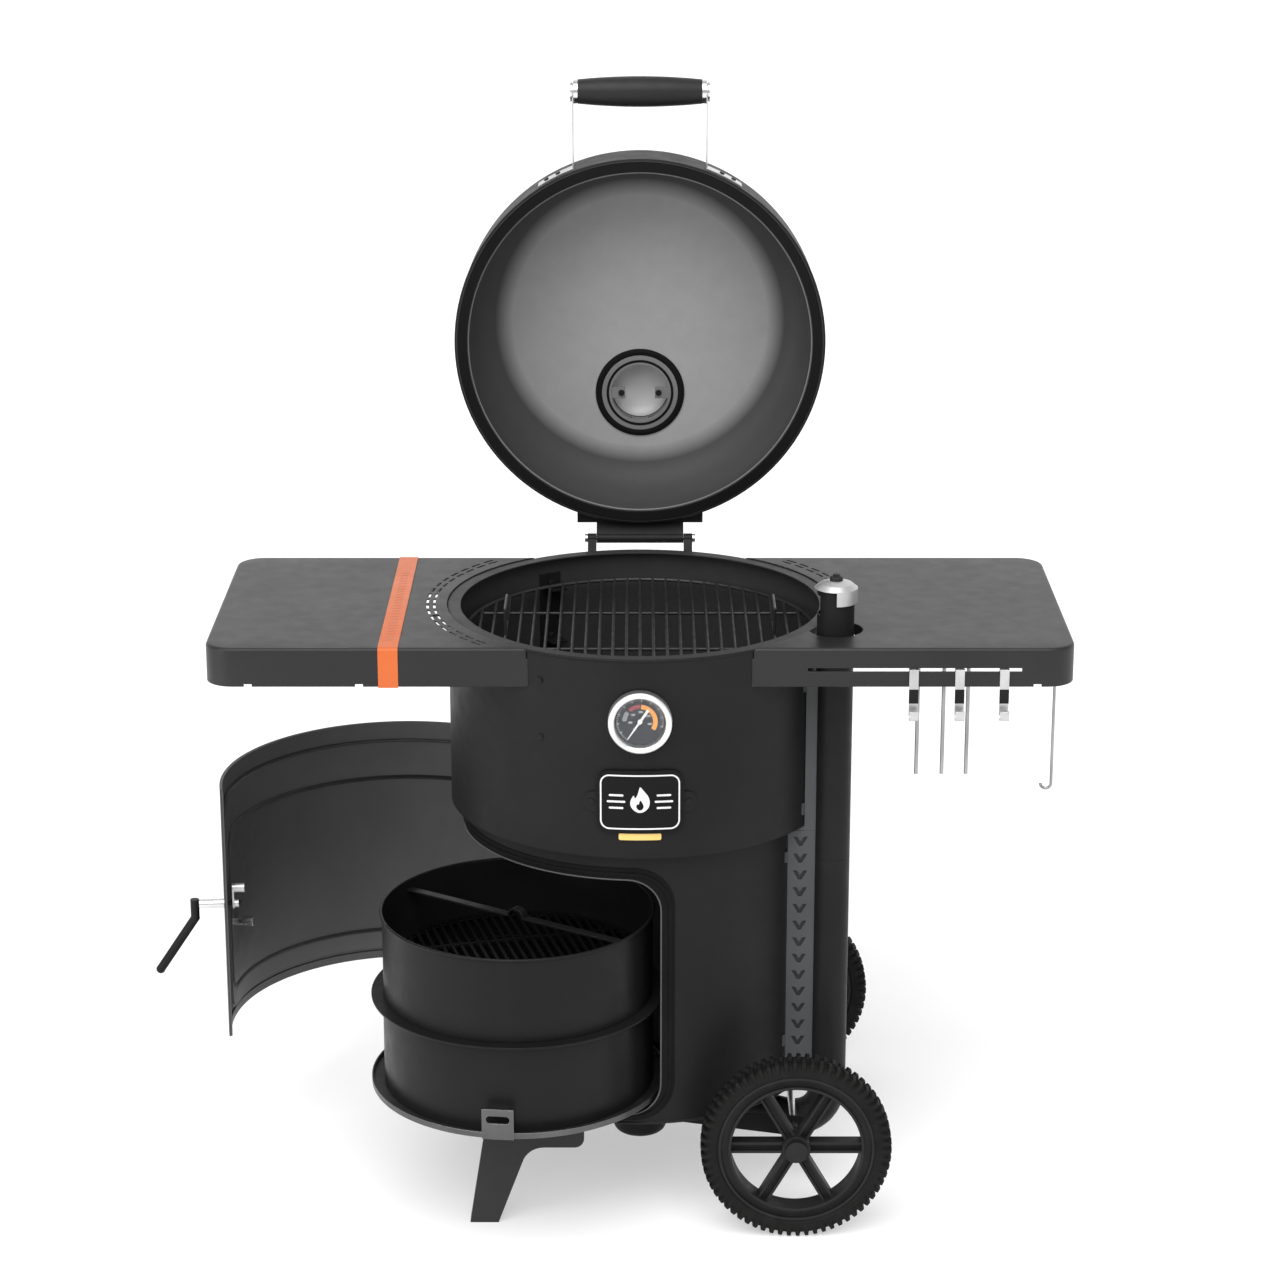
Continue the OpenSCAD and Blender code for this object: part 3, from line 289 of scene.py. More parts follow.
dial_face = coated(
    "DialFace", (0.006, 0.007, 0.011, 1), (0.01, 0.011, 0.016, 1), (0.36, 0.48), 0.00004,
    grey(0.08), 0.14, edge=0.0003)
grate_iron = coated(
    "SeasonedWire", grey(0.012), grey(0.028), (0.32, 0.5), 0.00025, grey(0.12), 0.4,
    edge=0.0008)


def bare(name, dark, light, rough, scratch, edge=0.0008):
    """Bare or plated metal with fine rubbing marks."""
    f = Finish(name)
    lines = f.noise(160, 3, stretch=(1, 1, 9))
    across = f.noise(150, 3, stretch=(9, 1, 1))
    marks = f.calc("ADD", lines, across)
    rounded, edges = f.soft_edges(edge)
    colour = f.mix(f.span(f.noise(14, 3), 0.35, 0.65), dark, light)
    colour = f.mix(f.calc("MULTIPLY", edges, 0.4), colour, (0.9, 0.9, 0.9, 1))
    return f.done(
        Base_Color=colour,
        Metallic=1.0,
        Roughness=f.span(marks, 0.7, 1.3, *rough),
        Normal=f.bump(marks, scratch, rounded),
    )


chrome = bare("Chrome", grey(0.7), grey(0.82), (0.12, 0.24), 0.00001)
steel = bare("BrightZinc", grey(0.5), grey(0.66), (0.26, 0.42), 0.00003)
bezel = bare("SatinBezel", grey(0.86), grey(0.94), (0.34, 0.44), 0.00001)
satin = bare("SatinZinc", grey(0.54), grey(0.64), (0.42, 0.54), 0.00003)
rod_steel = bare("RodSteel", grey(0.3), grey(0.42), (0.26, 0.4), 0.00003)
tray_zinc = bare("SheetZinc", grey(0.11), grey(0.15), (0.4, 0.55), 0.00005)


def plastic(name, dark, light, rough, grain, specular, edge=0.001):
    """Moulded plastic or rubber with a fine tool grain and faint dust."""
    f = Finish(name)
    pits = f.cells(900)
    drift = f.noise(9, 3)
    rounded, edges = f.soft_edges(edge)
    colour = f.mix(f.span(drift, 0.35, 0.68), dark, light)
    dust = f.calc("MULTIPLY", f.span(f.noise(70, 4), 0.55, 0.8), 0.35)
    colour = f.mix(dust, colour, tuple(c * 1.8 for c in light[:3]) + (1,))
    worn = f.calc("MULTIPLY", edges, 0.3)
    colour = f.mix(worn, colour, tuple(c * 2.4 for c in light[:3]) + (1,))
    return f.done(
        Base_Color=colour,
        Roughness=f.span(f.noise(45, 2), 0.3, 0.7, *rough),
        Specular_IOR_Level=specular,
        Normal=f.bump(pits, grain, rounded),
    )


grip = plastic("MouldedGrip", grey(0.01), grey(0.014), (0.42, 0.55), 0.00015, 0.3)
rim_plastic = plastic("MouldedRim", grey(0.009), grey(0.014), (0.45, 0.6), 0.0001, 0.25, 0.0014)
rubber = plastic("TyreRubber", grey(0.006, 0.03), grey(0.01, 0.03), (0.62, 0.82), 0.0003, 0.15)


def woven(name, dark, light):
    """Braided or felted heat seal: crossed strands with loose fibres."""
    f = Finish(name)
    strand = f.node(
        "ShaderNodeTexWave",
        {"Vector": f.point, "Scale": 210, "Distortion": 2.5, "Detail": 2.0},
        bands_direction="DIAGONAL",
    ).outputs["Fac"]
    fibre = f.noise(1400, 4)
    height = f.calc("ADD", strand, f.calc("MULTIPLY", fibre, 0.6))
    return f.done(
        Base_Color=f.mix(f.span(height, 0.3, 1.2), dark, light),
        Roughness=0.92,
        Specular_IOR_Level=0.15,
        Sheen_Weight=0.2,
        Sheen_Roughness=0.6,
        Normal=f.bump(height, 0.0006),
    )


felt = woven("BraidedSeal", grey(0.004), grey(0.012))


def clear():
    f = Finish("ClearGlass")
    smear = f.noise(60, 3, distortion=0.6)
    return f.done(
        Base_Color=(0.8, 0.84, 0.86, 1),
        Roughness=f.span(smear, 0.3, 0.7, 0.02, 0.09),
        Alpha=0.04,
        Specular_IOR_Level=0.16,
    )


glass = clear()

SLOTS = {
    "powder_coat": powder, "enamel": enamel, "rail_grey": rail_paint, "orange_paint": orange,
    "badge_black": badge_black, "badge_gold": badge_gold, "chrome": chrome, "steel": steel,
    "tray_grey": tray_zinc, "grate_iron": grate_iron, "grip": grip, "rim_plastic": rim_plastic,
    "tyre": rubber, "felt": felt, "dial_face": dial_face, "needle_white": white_print,
    "glass": glass,
}
SPECIAL = {
    "upper_drum": drum_paint, "damper_cap": satin, "hanging_tools": rod_steel,
    "latch_handle": stud_black, "door_frame": near_black_and_groove_shade, "badge_rivets": stud_black,
    "thermometer_case": bezel,
    "lid_shell": lid_paint, "door_skin": door_paint, "door_liner": liner_paint,
    "exhaust_collar": collar_grey, "basket_grid": grid_iron, "front_leg": leg_paint,
    "rear_leg": leg_paint, "lid_gasket": near_black_and_groove_shade, "lid_screws": stud_black,
}

for part in frame["record"]["subparts"]:
    node = frame["nodes"][part["node"]]
    node.data.materials.clear()
    node.data.materials.append(SPECIAL.get(part["node"], SLOTS[part["material_slot"]]))

# ---------------------------------------------------------------- mesh helpers


def piece(name, points, faces, body, slot, material, angle=35, place=still, solid=0.0):
    """A new mesh riding on a body. Points are millimetres about the drum's axis."""
    mesh = bpy.data.meshes.new(name)
    mesh.from_pydata([at(place(p)) for p in points], [], faces)
    mesh.validate()
    obj = bpy.data.objects.new(name, mesh)
    bpy.context.scene.collection.objects.link(obj)
    if solid:
        shell = obj.modifiers.new("Sheet", "SOLIDIFY")
        shell.thickness, shell.offset = solid / 1000, -1
        graph = bpy.context.evaluated_depsgraph_get()
        made = bpy.data.meshes.new_from_object(obj.evaluated_get(graph))
        obj.modifiers.clear()
        obj.data = made
        bpy.data.meshes.remove(mesh)
        made.name = name
    obj.data.materials.clear()
    obj.data.materials.append(material)
    for polygon in obj.data.polygons:
        polygon.use_smooth = True
    obj.data.set_sharp_from_angle(angle=math.radians(angle))
    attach(obj, body)
    return obj


def lathe(profile, axis, origin, turns=96, closed=False):
    """Points and faces of a (radius, height) profile turned about a unit axis at origin."""
    axis = Vector(axis).normalized()
    side = axis.orthogonal().normalized()
    other = axis.cross(side)
    points, faces, n = [], [], len(profile)
    for i in range(turns):
        a = 2 * math.pi * i / turns
        out = side * math.cos(a) + other * math.sin(a)
        points += [Vector(origin) + out * r + axis * h for r, h in profile]
    for i in range(turns):
        j = (i + 1) % turns
        for k in range(n if closed else n - 1):
            m = (k + 1) % n
            faces.append((i * n + k, j * n + k, j * n + m, i * n + m))
    return points, faces


def sweep(path, radius, closed=False, turns=12):
    """Points and faces of a round wire along a path."""
    path = [Vector(p) for p in path]
    n, points, faces, side = len(path), [], [], None
    for i, p in enumerate(path):
        before = path[i - 1] if closed or i else p
        after = path[(i + 1) % n] if closed or i < n - 1 else p
        along = (after - before).normalized()
        if side is None:
            side = along.orthogonal()
        side = (side - along * side.dot(along)).normalized()
        other = along.cross(side)
        points += [
            p + (side * math.cos(a) + other * math.sin(a)) * radius
            for a in (2 * math.pi * k / turns for k in range(turns))
        ]
    for i in range(n if closed else n - 1):
        j = (i + 1) % n
        for k in range(turns):
            m = (k + 1) % turns
            faces.append((i * turns + k, j * turns + k, j * turns + m, i * turns + m))
    if not closed:
        faces += [tuple(range(turns)), tuple(range((n - 1) * turns, n * turns))]
    return points, faces


def join(*parts):
    """Several (points, faces) pairs as one."""
    points, faces = [], []
    for p, f in parts:
        start = len(points)
        points += p
        faces += [tuple(start + i for i in face) for face in f]
    return points, faces


def slab(loops, low, high, place):
    """A flat outline with holes, given a thickness. place(u, v, w) puts it in space."""
    flat = [[Vector((u, v, 0)) for u, v in loop] for loop in loops]
    triangles = tessellate_polygon(flat)
    corners = [p for loop in loops for p in loop]
    n = len(corners)
    points = [place(u, v, high) for u, v in corners] + [place(u, v, low) for u, v in corners]
    faces = []
    for a, b, c in triangles:
        (ax, ay), (bx, by), (cx, cy) = corners[a], corners[b], corners[c]
        turn = (bx - ax) * (cy - ay) - (by - ay) * (cx - ax)
        a, b, c = (a, b, c) if turn > 0 else (a, c, b)
        faces += [(a, b, c), (n + a, n + c, n + b)]
    start = 0
    for loop in loops:
        m = len(loop)
        for i in range(m):
            j = (i + 1) % m
            faces.append((start + i, start + j, n + start + j, n + start + i))
        start += m
    return points, faces


def rounded_loop(half_u, half_v, corner, steps=8, centre=(0, 0)):
    """A rounded rectangle's outline, counter-clockwise."""
    loop = []
    for cu, cv, first in ((1, 1, 0), (-1, 1, 90), (-1, -1, 180), (1, -1, 270)):
        for k in range(steps + 1):
            a = math.radians(first + 90 * k / steps)
            loop.append((centre[0] + cu * (half_u - corner) + corner * math.cos(a),
                         centre[1] + cv * (half_v - corner) + corner * math.sin(a)))
    return loop


def dense(loop, step=2.0):
    """The same outline with more points on its long sides."""
    out = []
    for i, (u, v) in enumerate(loop):
        p, q = loop[i], loop[(i + 1) % len(loop)]
        count = max(1, math.ceil(math.dist(p, q) / step))
        out += [(p[0] + (q[0] - p[0]) * k / count, p[1] + (q[1] - p[1]) * k / count)
                for k in range(count)]
    return out


def ring_strip(outer, inner, low, high, place):
    """A closed band between two outlines that have the same number of points."""
    n, points, faces = len(outer), [], []
    for loop, w in ((outer, high), (inner, high), (inner, low), (outer, low)):
        points += [place(u, v, w) for u, v in loop]
    for i in range(n):
        j = (i + 1) % n
        for k in range(4):
            m = (k + 1) % 4
            faces.append((k * n + i, m * n + i, m * n + j, k * n + j))
    return points, faces


def resample(loop, n):
    """n evenly spaced points along a closed outline."""
    lengths = [math.dist(loop[i], loop[(i + 1) % len(loop)]) for i in range(len(loop))]
    total, out, i, walked = sum(lengths), [], 0, 0.0
    for k in range(n):
        goal = total * k / n
        while walked + lengths[i] < goal:
            walked += lengths[i]
            i += 1
        t = (goal - walked) / lengths[i]
        p, q = loop[i], loop[(i + 1) % len(loop)]
        out.append((p[0] + (q[0] - p[0]) * t, p[1] + (q[1] - p[1]) * t))
    return out


def on_drum(radius, middle):
    """Places u along the drum, v as height and w out from the radius, about an azimuth."""
    def place(u, v, w):
        a = middle + u / radius
        return Vector(((radius + w) * math.cos(a), (radius + w) * math.sin(a), v))
    return place


def rivet(origin, out, radius, height):
    """A low domed head."""
    steps = 5
    dome = [(radius * math.cos(math.radians(90 * k / steps)),
             height * math.sin(math.radians(90 * k / steps))) for k in range(steps)]
    return lathe([(radius, -0.5)] + dome + [(0.01, height)], out, origin, 20)


# ---------------------------------------------------------------- side tables

TABLE_Z, APRON, CUTOUT, FOLD = 935.5, 60, 302, 5
TABLE_X, TABLE_Y, CORNER = 655, 249, 42
# Below the drum's rim the aprons reach in to its wall
RIM_Z, APRON_REACH, LIP_Z = 919.5, 300.3, 917.5
# Heights of the edges that part the apron's openings, and the rings that these begin at
APRON_EDGES, HOOK_SLOT, CORNER_NOTCH = (904.8, 899.3, 879.5), 9, 11
SLOT_ROWS, SLOT_PITCH, SLOT_HALF = (322, 332.5), 5.25, 1.8
# The intake pipe's notch: its middle and radius
PIPE = (298, -150, 42)


def arc_run(centre, radius, first, last, count=24):
    return [(centre[0] + radius * math.cos(first + (last - first) * k / count),
             centre[1] + radius * math.sin(first + (last - first) * k / count))
            for k in range(count + 1)]


def cutout_runs(notch):
    """The drum cutout's edge from back to front, in runs that each carry a folded lip."""
    reach = math.asin((TABLE_Y - FOLD) / CUTOUT)
    if not notch:
        return [arc_run((0, 0), CUTOUT, reach, -reach, 48)]
    x, y, r = notch
    far, turn = math.hypot(x, y), math.atan2(y, x)
    gap = math.acos((far ** 2 + CUTOUT ** 2 - r ** 2) / (2 * far * CUTOUT))
    bite = math.pi - math.acos((far ** 2 + r ** 2 - CUTOUT ** 2) / (2 * far * r))
    return [arc_run((0, 0), CUTOUT, reach, turn + gap, 36),
            arc_run((x, y), r, turn + bite, turn - bite, 40)[1:-1],
            arc_run((0, 0), CUTOUT, turn - gap, -reach)]


def table(name, node, side, stops, holes, slots, notch=None):
    """A folded table top: rounded outer fold, apron, cutout lip, vent slots and openings."""
    path = [(x, -TABLE_Y, 0, -1) for x in [None, *stops]]
    straight = TABLE_X - CORNER
    for cy, first in ((-(TABLE_Y - CORNER), -90), (TABLE_Y - CORNER, 0)):
        for k in range(15):
            a = math.radians(first + 90 * k / 14)
            path.append((straight + CORNER * math.cos(a), cy + CORNER * math.sin(a),
                         math.cos(a), math.sin(a)))
    path.append((None, TABLE_Y, 0, 1))
    rings = []
    for k in range(7):
        a = math.radians(15 * k)
        rings.append((FOLD * (1 - math.sin(a)), TABLE_Z - FOLD * (1 - math.cos(a)), CUTOUT))
    rings.append((0, RIM_Z, CUTOUT))
    rings += [(0, z, APRON_REACH) for z in (RIM_Z - 0.1, *APRON_EDGES, TABLE_Z - APRON)]
    points, faces = [], []
    for inset, z, reach in rings:
        for x, y, nx, ny in path:
            y -= ny * inset
            x = math.sqrt(reach ** 2 - y ** 2) if x is None else x - nx * inset
            points.append((side * x, y, z))
    n = len(path)
    cut = {(stops.index(a) + 1, k) for a, k in holes}
    for k in range(len(rings) - 1):
        for i in range(n - 1):
            if (i, k) not in cut:
                faces.append((k * n + i, (k + 1) * n + i, (k + 1) * n + i + 1, k * n + i + 1))
    edge, lips = [], []
    for run in cutout_runs(notch):
        start = len(points)
        points += [(side * x, y, TABLE_Z) for x, y in run]
        lips.append(list(range(start, len(points))))
        edge += lips[-1]
    # The edge's two ends are the outer fold's own end points
    ends = {edge[0]: n - 1, edge[-1]: 0}
    edge = edge[1:-1]
    lips = [[ends.get(i, i) for i in lip] for lip in lips]
    outline = list(range(n)) + edge
    loops = [[points[i] for i in outline]]
    owners = [outline]
    for loop in slots:
        owners.append(list(range(len(points), len(points) + len(loop))))
        made = [(side * u, v, TABLE_Z) for u, v in loop]
        points += made
        loops.append(made)
    flat = [i for loop in owners for i in loop]
    for tri in tessellate_polygon([[Vector((x, y, 0)) for x, y, _ in loop] for loop in loops]):
        a, b, c = (flat[i] for i in tri)
        p, q, r = points[a], points[b], points[c]
        turn = (q[0] - p[0]) * (r[1] - p[1]) - (q[1] - p[1]) * (r[0] - p[0])
        # Wound upwards on the right table; the mirrored one is turned over with its aprons
        faces.append((a, b, c) if turn * side > 0 else (a, c, b))
    for lip in lips:
        low = len(points)
        points += [(points[i][0], points[i][1], LIP_Z) for i in lip]
        for k in range(len(lip) - 1):
            faces.append((lip[k], low + k, low + k + 1, lip[k + 1]))
    if side < 0:
        faces = [tuple(reversed(face)) for face in faces]
    made = piece(name, points, faces, "drum", "powder_coat", table_paint, 40, solid=2)
    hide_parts(node)


def slot_loops(first, last):
    """The two rows of short curved slots round the cutout."""
    loops = []
    for radius in SLOT_ROWS:
        for i in range(first, last + 1):
            a0 = math.radians(i * SLOT_PITCH - SLOT_HALF)
            a1 = math.radians(i * SLOT_PITCH + SLOT_HALF)
            turns = [a0 + (a1 - a0) * k / 4 for k in range(5)]
            loops.append([(r * math.cos(a), r * math.sin(a))
                          for r, run in ((radius + 2, turns), (radius - 2, turns[::-1]))
                          for a in run])
    return loops


table("RightTable", "right_table", 1, [252, 573, 591, 603],
      [(252, HOOK_SLOT), (591, CORNER_NOTCH)], slot_loops(-3, 8), PIPE)
table("LeftTable", "left_table", -1, [416, 428, 583, 595],
      [(416, CORNER_NOTCH), (583, CORNER_NOTCH)], slot_loops(-8, 8))

# Orange band folded over the left table
BAND, BAND_T, BAND_LOW = (-393, -363), 1.2, 874
BAND_FOLD = FOLD + BAND_T
profile = [(-TABLE_Y - BAND_T, BAND_LOW)]
for sign, angles in ((-1, range(0, 91, 15)), (1, range(90, -1, -15))):
    for a in angles:
        a = math.radians(a)
        profile.append((sign * (TABLE_Y + BAND_T - BAND_FOLD * (1 - math.cos(a))),
                        TABLE_Z + BAND_T - BAND_FOLD * (1 - math.sin(a))))
profile.append((TABLE_Y + BAND_T, BAND_LOW))
points = [(x, y, z) for x in BAND for y, z in profile]
count = len(profile)
faces = [(i, count + i, count + i + 1, i + 1) for i in range(count - 1)]
band = piece("AccentBand", points, faces, "drum", "orange_paint", orange, 40, solid=1.15)
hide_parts("accent_band")

# A plain row of slanted dashes printed along the band's top
dashes = []
for k in range(25):
    y = 150 - 15 * k
    dashes.append(slab([[(-384, y - 3.2), (-372, y), (-372, y + 4.4), (-384, y + 1.2)]], 0, 0.1,
                       lambda u, v, w: Vector((u, v, TABLE_Z + BAND_T + w))))
piece("BandDashes", *join(*dashes), "drum", "orange_paint", band_print)

# ---------------------------------------------------------------- thermometer print

DIAL_Y, DIAL_Z, DIAL_R = -307.0, 840, 35.5
# Degrees from the top where the scale begins, and its sweep
DIAL_FIRST, DIAL_SWEEP = -146, 250
PRINT = (0.05, 0.3)


def on_dial(u, v, w):
    return Vector((u, DIAL_Y - w, DIAL_Z + v))


def dial_arc(inner, outer, first, last, steps=40):
    """A ring part between two angles, clockwise from the top."""
    turns = [math.radians(first + (last - first) * k / steps) for k in range(steps + 1)]
    return ([(outer * math.sin(a), outer * math.cos(a)) for a in turns]
            + [(inner * math.sin(a), inner * math.cos(a)) for a in reversed(turns)])


for name, inner, first, last, slot, paint in (
    ("DialAmber", 19.5, 4, 122, "orange_paint", amber_print),
    ("DialRed", 20.5, -42, 1, "dial_face", red_print),
    ("DialGrey", 20, -88, -52, "dial_face", grey_print),
):
    arc = dial_arc(inner, 26.5, first, last)
    piece(name, *slab([arc], *PRINT, on_dial), "drum", slot, paint)
ticks = []
for k in range(51):
    a = math.radians(DIAL_FIRST + DIAL_SWEEP * k / 50)
    size, wide = (4.6, 0.42) if k % 5 == 0 else (2.6, 0.24)
    u0, v0 = math.sin(a), math.cos(a)
    side_u, side_v = v0 * wide, -u0 * wide
    r0, r1 = DIAL_R - size, DIAL_R
    tick = [(u0 * r + turn * side_u, v0 * r + turn * side_v)
            for r, turn in ((r0, -1), (r0, 1), (r1, 1), (r1, -1))]
    ticks.append(slab([tick], *PRINT, on_dial))
piece("DialTicks", *join(*ticks), "drum", "needle_white", white_print)


def numeral(text, u, v, height):
    """Points and faces of a number drawn on the dial."""
    curve = bpy.data.curves.new("Numeral", "FONT")
    curve.body, curve.size = text, height * 1.35
    curve.align_x, curve.align_y = "CENTER", "CENTER"
    curve.resolution_u = 3
    obj = bpy.data.objects.new("Numeral", curve)
    bpy.context.scene.collection.objects.link(obj)
    graph = bpy.context.evaluated_depsgraph_get()
    mesh = bpy.data.meshes.new_from_object(obj.evaluated_get(graph))
    made = ([on_dial(u + p.co.x, v + p.co.y, PRINT[1]) for p in mesh.vertices],
            [tuple(f.vertices) for f in mesh.polygons])
    bpy.data.objects.remove(obj)
    bpy.data.curves.remove(curve)
    bpy.data.meshes.remove(mesh)
    return made


numbers = []
for k in range(6):
    a = math.radians(DIAL_FIRST + DIAL_SWEEP * k / 5)
    numbers.append(numeral(str(50 + 50 * k), 15 * math.sin(a), 15 * math.cos(a), 3.4))
piece("DialNumbers", *join(*numbers), "drum", "needle_white", white_print)

# ---------------------------------------------------------------- badge print

BADGE_R, BADGE_Z, INK = 305, 711, (-0.1, 0.35)
badge = on_drum(BADGE_R, FRONT)
outer = dense(rounded_loop(60.5, 43.5, 14, centre=(0, BADGE_Z)))
inner = dense(rounded_loop(58.2, 41.2, 11.7, centre=(0, BADGE_Z)))
piece("BadgeOutline", *ring_strip(resample(outer, 180), resample(inner, 180), *INK, badge),
      "drum", "needle_white", white_print)
flame = [(0, 25), (5, 18), (12, 10), (15, 1), (14, -8), (8, -15), (0, -18), (-8, -15), (-14, -8),
         (-15, 0), (-12, 7), (-9, 11), (-8, 4), (-4, 10), (-2, 17)]
heart = [(0, 4), (4, -2), (6, -8), (3.5, -12.5), (0, -14), (-3.5, -12.5), (-6, -8), (-4.5, -3),
         (-2, -5)]


def smooth_loop(loop):
    """The same outline with its corners cut twice."""
    for _ in range(2):
        out = []
        for i, p in enumerate(loop):
            q = loop[(i + 1) % len(loop)]
            out += [(p[0] * 0.75 + q[0] * 0.25, p[1] * 0.75 + q[1] * 0.25),
                    (p[0] * 0.25 + q[0] * 0.75, p[1] * 0.25 + q[1] * 0.75)]
        loop = out
    return loop


ICON_Z = BADGE_Z + 1
icon = [[(u, v + ICON_Z) for u, v in smooth_loop(loop)] for loop in (flame, heart)]
marks = [slab(icon, *INK, badge)]
for u in (-36, 36):
    for v, half in ((10, 11), (0, 14), (-10, 11)):
        bar = dense(rounded_loop(half, 1.6, 1.5, 4, (u, ICON_Z + v)), 3)
        marks.append(slab([bar], *INK, badge))
piece("BadgeMarks", *join(*marks), "drum", "needle_white", white_print)

# ---------------------------------------------------------------- tyres

WHEEL_X, WHEEL_Y, WHEEL_Z = 241.5, 308.5, 148

def tyre(name, node, middle_y, body):
    """A solid lugged tyre: blocks staggered either side, smooth sidewalls with two rings."""
    # Radius and half width of the sidewall, of the tread's grooves and of its blocks
    base = [(121, 17.5), (122.4, 19.8), (125, 20.9), (126.5, 20.4), (128, 20.9), (131.5, 21.3)]
    groove = [(134.5, 20.6), (138.5, 19.3), (141.2, 17), (142.4, 13), (142.8, 7), (142.8, 2.2)]
    block = [(134.9, 22.4), (141.5, 22.4), (146.2, 20), (147.7, 15), (148, 8), (148, 2.4)]
    lugs, fine = 66, 10
    turns = lugs * fine
    rows = []
    for i in range(turns):
        f = (i % fine) / fine
        ring = []
        for sign, phase in ((1, f), (-1, (f + 0.5) % 1)):
            rise = 1.0 if 0.1 <= phase <= 0.5 else 0.0
            half = [*base, *((g[0] + (b[0] - g[0]) * rise, g[1] + (b[1] - g[1]) * rise)
                             for g, b in zip(groove, block))]
            ring.append([(r, sign * y) for r, y in half])
        rows.append(ring[0] + [(142.4, 0)] + ring[1][::-1])
    n, points, faces = len(rows[0]), [], []
    for i, row in enumerate(rows):
        a = 2 * math.pi * i / turns
        points += [(WHEEL_X + r * math.cos(a), middle_y + y, WHEEL_Z + r * math.sin(a))
                   for r, y in row]
    for i in range(turns):
        j = (i + 1) % turns
        for k in range(n):
            m = (k + 1) % n
            faces.append((i * n + k, i * n + m, j * n + m, j * n + k))
    made = piece(name, points, faces, body, "tyre", rubber, 38)
    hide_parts(node)


tyre("FrontTyre", "front_tyre", -WHEEL_Y, "front_wheel")
tyre("RearTyre", "rear_tyre", WHEEL_Y, "rear_wheel")

# ---------------------------------------------------------------- edge of the door opening

OPENING_AZ, OPENING_R, OPENING_Z = (126, 276.5), 280.5, 381
opening = on_drum(OPENING_R, math.radians(sum(OPENING_AZ) / 2))
half_u = math.radians(OPENING_AZ[1] - OPENING_AZ[0]) / 2 * OPENING_R
edge = dense(rounded_loop(half_u + 0.6, 195.6, 52, 10, (0, OPENING_Z)), 8)
path = [opening(u, v, 0) for u, v in edge]
piece("OpeningTrim", *sweep(path, 1.3, closed=True), "drum", "enamel", trim_and_highlight_grey, 60)

# ---------------------------------------------------------------- fire door seal

# A flat strip frames the liner's raised panel, with the rope seal in the gap between them
PANEL_AZ, PANEL_R, PANEL_Z, DOOR_Z = (131, 267), 281, 370, 384
SEAL_R, STRIP_R, STRIP_T = 281.2, 284, 3.6
door_mid = math.radians(sum(PANEL_AZ) / 2)
panel_u = math.radians(PANEL_AZ[1] - PANEL_AZ[0]) / 2 * PANEL_R
seal = on_drum(SEAL_R, door_mid)
seal_loop = dense(rounded_loop(panel_u + 4, 140, 37, 10, (0, PANEL_Z)), 9)
path = [on_door(seal(u, v, 0)) for u, v in seal_loop]
piece("DoorSeal", *sweep(path, 3.4, closed=True), "door", "felt", felt, 60)
strip = on_drum(STRIP_R, door_mid)
rim_loop = dense(rounded_loop(panel_u + 12, 188, 42, 10, (0, DOOR_Z)), 6)
gap_loop = dense(rounded_loop(panel_u + 7, 143, 40, 10, (0, PANEL_Z)), 6)
points, faces = ring_strip(resample(rim_loop, 260), resample(gap_loop, 260), -STRIP_T, 0, strip)
piece("DoorStrip", points, faces, "door", "enamel", door_paint, 40, place=on_door)
# Painted highlight: a thin light grey wire along the strip's outer edge stands for the highlight
# line there
path = [on_door(strip(u, v, -3.4)) for u, v in resample(rim_loop, 200)]
piece("DoorStripHighlight", *sweep(path, 0.8, closed=True, turns=8), "door", "enamel", trim_and_highlight_grey, 60)

# ---------------------------------------------------------------- lid vent, inside

UP = (0, 0, 1)
# Radius and height profiles about the vent's middle, and the height that each starts from
vent_turned = (
    # Painted shade: the groove round the vent is near-black, standing for the shade in its pressed
    # recess
    ("VentGrooveShade", LID_H - 2, "powder_coat", near_black_and_groove_shade, 0.0,
     [(64.2, -0.3), (64.6, -3), (66, -3.6), (72.6, -3.6), (74, -3), (75, -0.3)]),
    ("VentRing", LID_H - 6, "powder_coat", near_black_and_groove_shade, 0.0,
     [(52.2, 0.2), (52.5, -0.8), (56.3, -0.8), (56.6, 0.2)]),
    ("VentBowl", LID_H, "steel", bowl_grey, 0.6,
     [(0.01, 34.2), (18, 33.6), (32, 31.2), (42, 26.8), (46.5, 22.6), (47.3, 21.2)]),
)
for name, height, slot, paint, solid, profile in vent_turned:
    points, faces = lathe(profile, UP, VENT + Vector((0, 0, height)))
    faces = [tuple(reversed(face)) for face in faces]
    piece(name, points, faces, "lid", slot, paint, 40, on_lid, solid)

# A rolled bead round the lid's open edge
BEAD_R, BEAD_Z, BEAD_WIRE = 280, 941, 1.2
bead = [(BEAD_R + BEAD_WIRE * math.cos(math.tau * k / 10), BEAD_WIRE * math.sin(math.tau * k / 10))
        for k in range(10)]
points, faces = lathe(bead, UP, (0, 0, BEAD_Z), 160, closed=True)
piece("LidBead", points, faces, "lid", "powder_coat", collar_grey, 60, on_lid)

# ---------------------------------------------------------------- hooks

# Painted shade: near-black slabs on the hooks' fronts stand for the shade where each strip bends
# inward
HOOK_XS, HOOK_Y, SHADE_HALF, SHADE_LOW, SHADE_HIGH = (411, 480, 547), -252.2, 7.2, 850, 872
bend_shades = []
for x in HOOK_XS:
    x0, x1 = x - SHADE_HALF, x + SHADE_HALF
    face = [(x0, SHADE_LOW), (x1, SHADE_LOW), (x1, SHADE_HIGH), (x0, SHADE_HIGH)]
    bend_shades.append(slab([face], -0.2, 0.5, lambda u, v, w: Vector((u, HOOK_Y - w, v))))
piece("HookBendShade", *join(*bend_shades), "hooks", "powder_coat", stud_black)

# ---------------------------------------------------------------- pipe rail

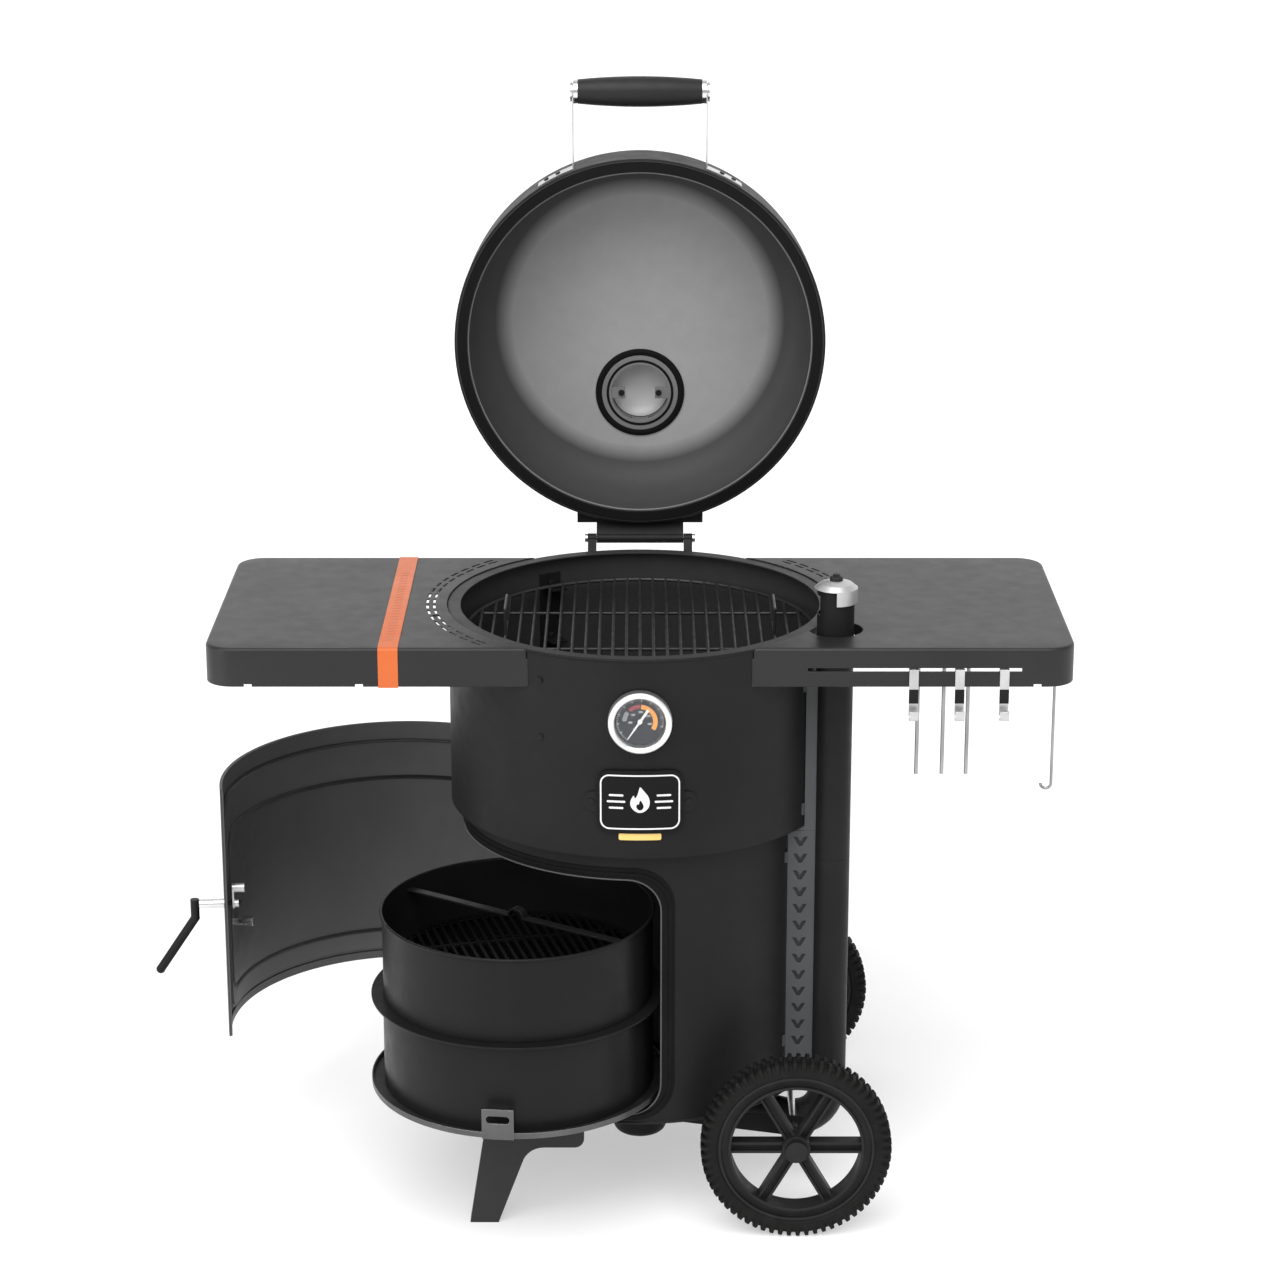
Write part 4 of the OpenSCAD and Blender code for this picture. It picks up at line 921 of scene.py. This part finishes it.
# The plate seen through the rail's chevron openings
RAIL_BACK_Y = -159.9
points, faces = slab([[(232, 226), (266, 226), (266, 611), (232, 611)]], 0, 0.5,
                     lambda u, v, w: Vector((u, RAIL_BACK_Y + w, v)))
piece("RailBacking", points, faces, "drum", "powder_coat", chevron_grey)

# ---------------------------------------------------------------- rivets and bolt heads

STRAP_Z, BACK = (250, 520), (0, 1, 0)


def row_heads(radius, turns, rise, size):
    """Rivet heads on a hinge leaf of each height, at azimuths in degrees."""
    heads = []
    for z in STRAP_Z:
        for az in turns:
            a = math.radians(az)
            out = Vector((math.cos(a), math.sin(a), 0))
            heads.append(rivet(out * radius + Vector((0, 0, z + rise)), out, *size))
    return heads


strap_size = (3.4, 2)
heads = row_heads(281.4, (113.6, 117.2), 12, strap_size)
piece("DoorLeafRivets", *join(*heads), "drum", "steel", steel)
heads = row_heads(290.4, (125.5, 131.5), 36, strap_size)
piece("DoorStrapRivets", *join(*heads), "door", "steel", steel, place=on_door)
heads = [rivet(Vector((x, 307, 896)), BACK, 4.5, 2.6) for x in (-60, 0, 60)]
piece("HingeBaseBolts", *join(*heads), "drum", "steel", steel)
heads = [rivet(Vector((x, 306, 990)), BACK, 4.2, 2.4) for x in (-80, -40, 40, 80)]
piece("HingeLeafBolts", *join(*heads), "lid", "steel", steel, place=on_lid)

# ---------------------------------------------------------------- floor, light and camera

bpy.ops.mesh.primitive_plane_add(size=120, location=(0, 0, 0))
floor = bpy.context.object
floor.name = "Floor"
f = Finish("PaleFloor")
floor.data.materials.append(f.done(
    Base_Color=f.mix(f.span(f.noise(0.6, 2), 0.3, 0.7), grey(0.6), grey(0.63)),
    Roughness=f.span(f.noise(2.5, 3), 0.3, 0.7, 0.6, 0.75),
    Specular_IOR_Level=0.2,
    Emission_Color=(1, 1, 1, 1),
    Emission_Strength=0.42,
))

world = bpy.data.worlds.new("Studio")
bpy.context.scene.world = world
world.use_nodes = True
sky = world.node_tree.nodes["Background"]
sky.inputs[0].default_value = (1, 1, 1, 1)
# The room is brighter behind the smoker, as a lit backdrop would make it
direction = world.node_tree.nodes.new("ShaderNodeTexCoord")
depth = world.node_tree.nodes.new("ShaderNodeSeparateXYZ")
glow = world.node_tree.nodes.new("ShaderNodeMapRange")
glow.interpolation_type = "SMOOTHSTEP"
# Depth from 0.1 to 0.9 becomes a strength from 0.5 to 1.2
for socket, value in zip((1, 2, 3, 4), (0.1, 0.9, 0.5, 1.2)):
    glow.inputs[socket].default_value = value
world.node_tree.links.new(direction.outputs["Generated"], depth.inputs[0])
world.node_tree.links.new(depth.outputs["Y"], glow.inputs[0])
world.node_tree.links.new(glow.outputs[0], sky.inputs[1])

key = bpy.data.lights.new("SoftKey", "SUN")
key.energy, key.angle = 2.7, math.radians(55)
key_lamp = bpy.data.objects.new("SoftKey", key)
bpy.context.scene.collection.objects.link(key_lamp)
key_lamp.rotation_euler = Vector((0.12, 0.58, -0.8)).to_track_quat("-Z", "Y").to_euler()


def lamp(name, place, target, size, power):
    light = bpy.data.lights.new(name, "AREA")
    light.shape, light.size, light.size_y = "RECTANGLE", *size
    light.energy = power
    obj = bpy.data.objects.new(name, light)
    bpy.context.scene.collection.objects.link(obj)
    obj.location = place
    obj.rotation_euler = (Vector(target) - Vector(place)).to_track_quat("-Z", "Y").to_euler()


lamp("FillLeft", (-3.6, -2.6, 1.5), (-0.1, 0, 0.6), (1.8, 2.2), 40)
lamp("FillRight", (3.6, -2.8, 2.2), (0, 0, 0.7), (2.0, 2.6), 12)

camera = bpy.data.cameras.new("Camera")
camera.lens, camera.sensor_width = 93.96, 36
camera.clip_start, camera.clip_end = 0.1, 400
view = bpy.data.objects.new("Camera", camera)
bpy.context.scene.collection.objects.link(view)
view.location = at((0, -5015, 2442.8))
view.rotation_euler = (math.radians(90 - 17.401), 0, 0)
bpy.context.scene.camera = view
bpy.context.scene.view_settings.view_transform = "Standard"
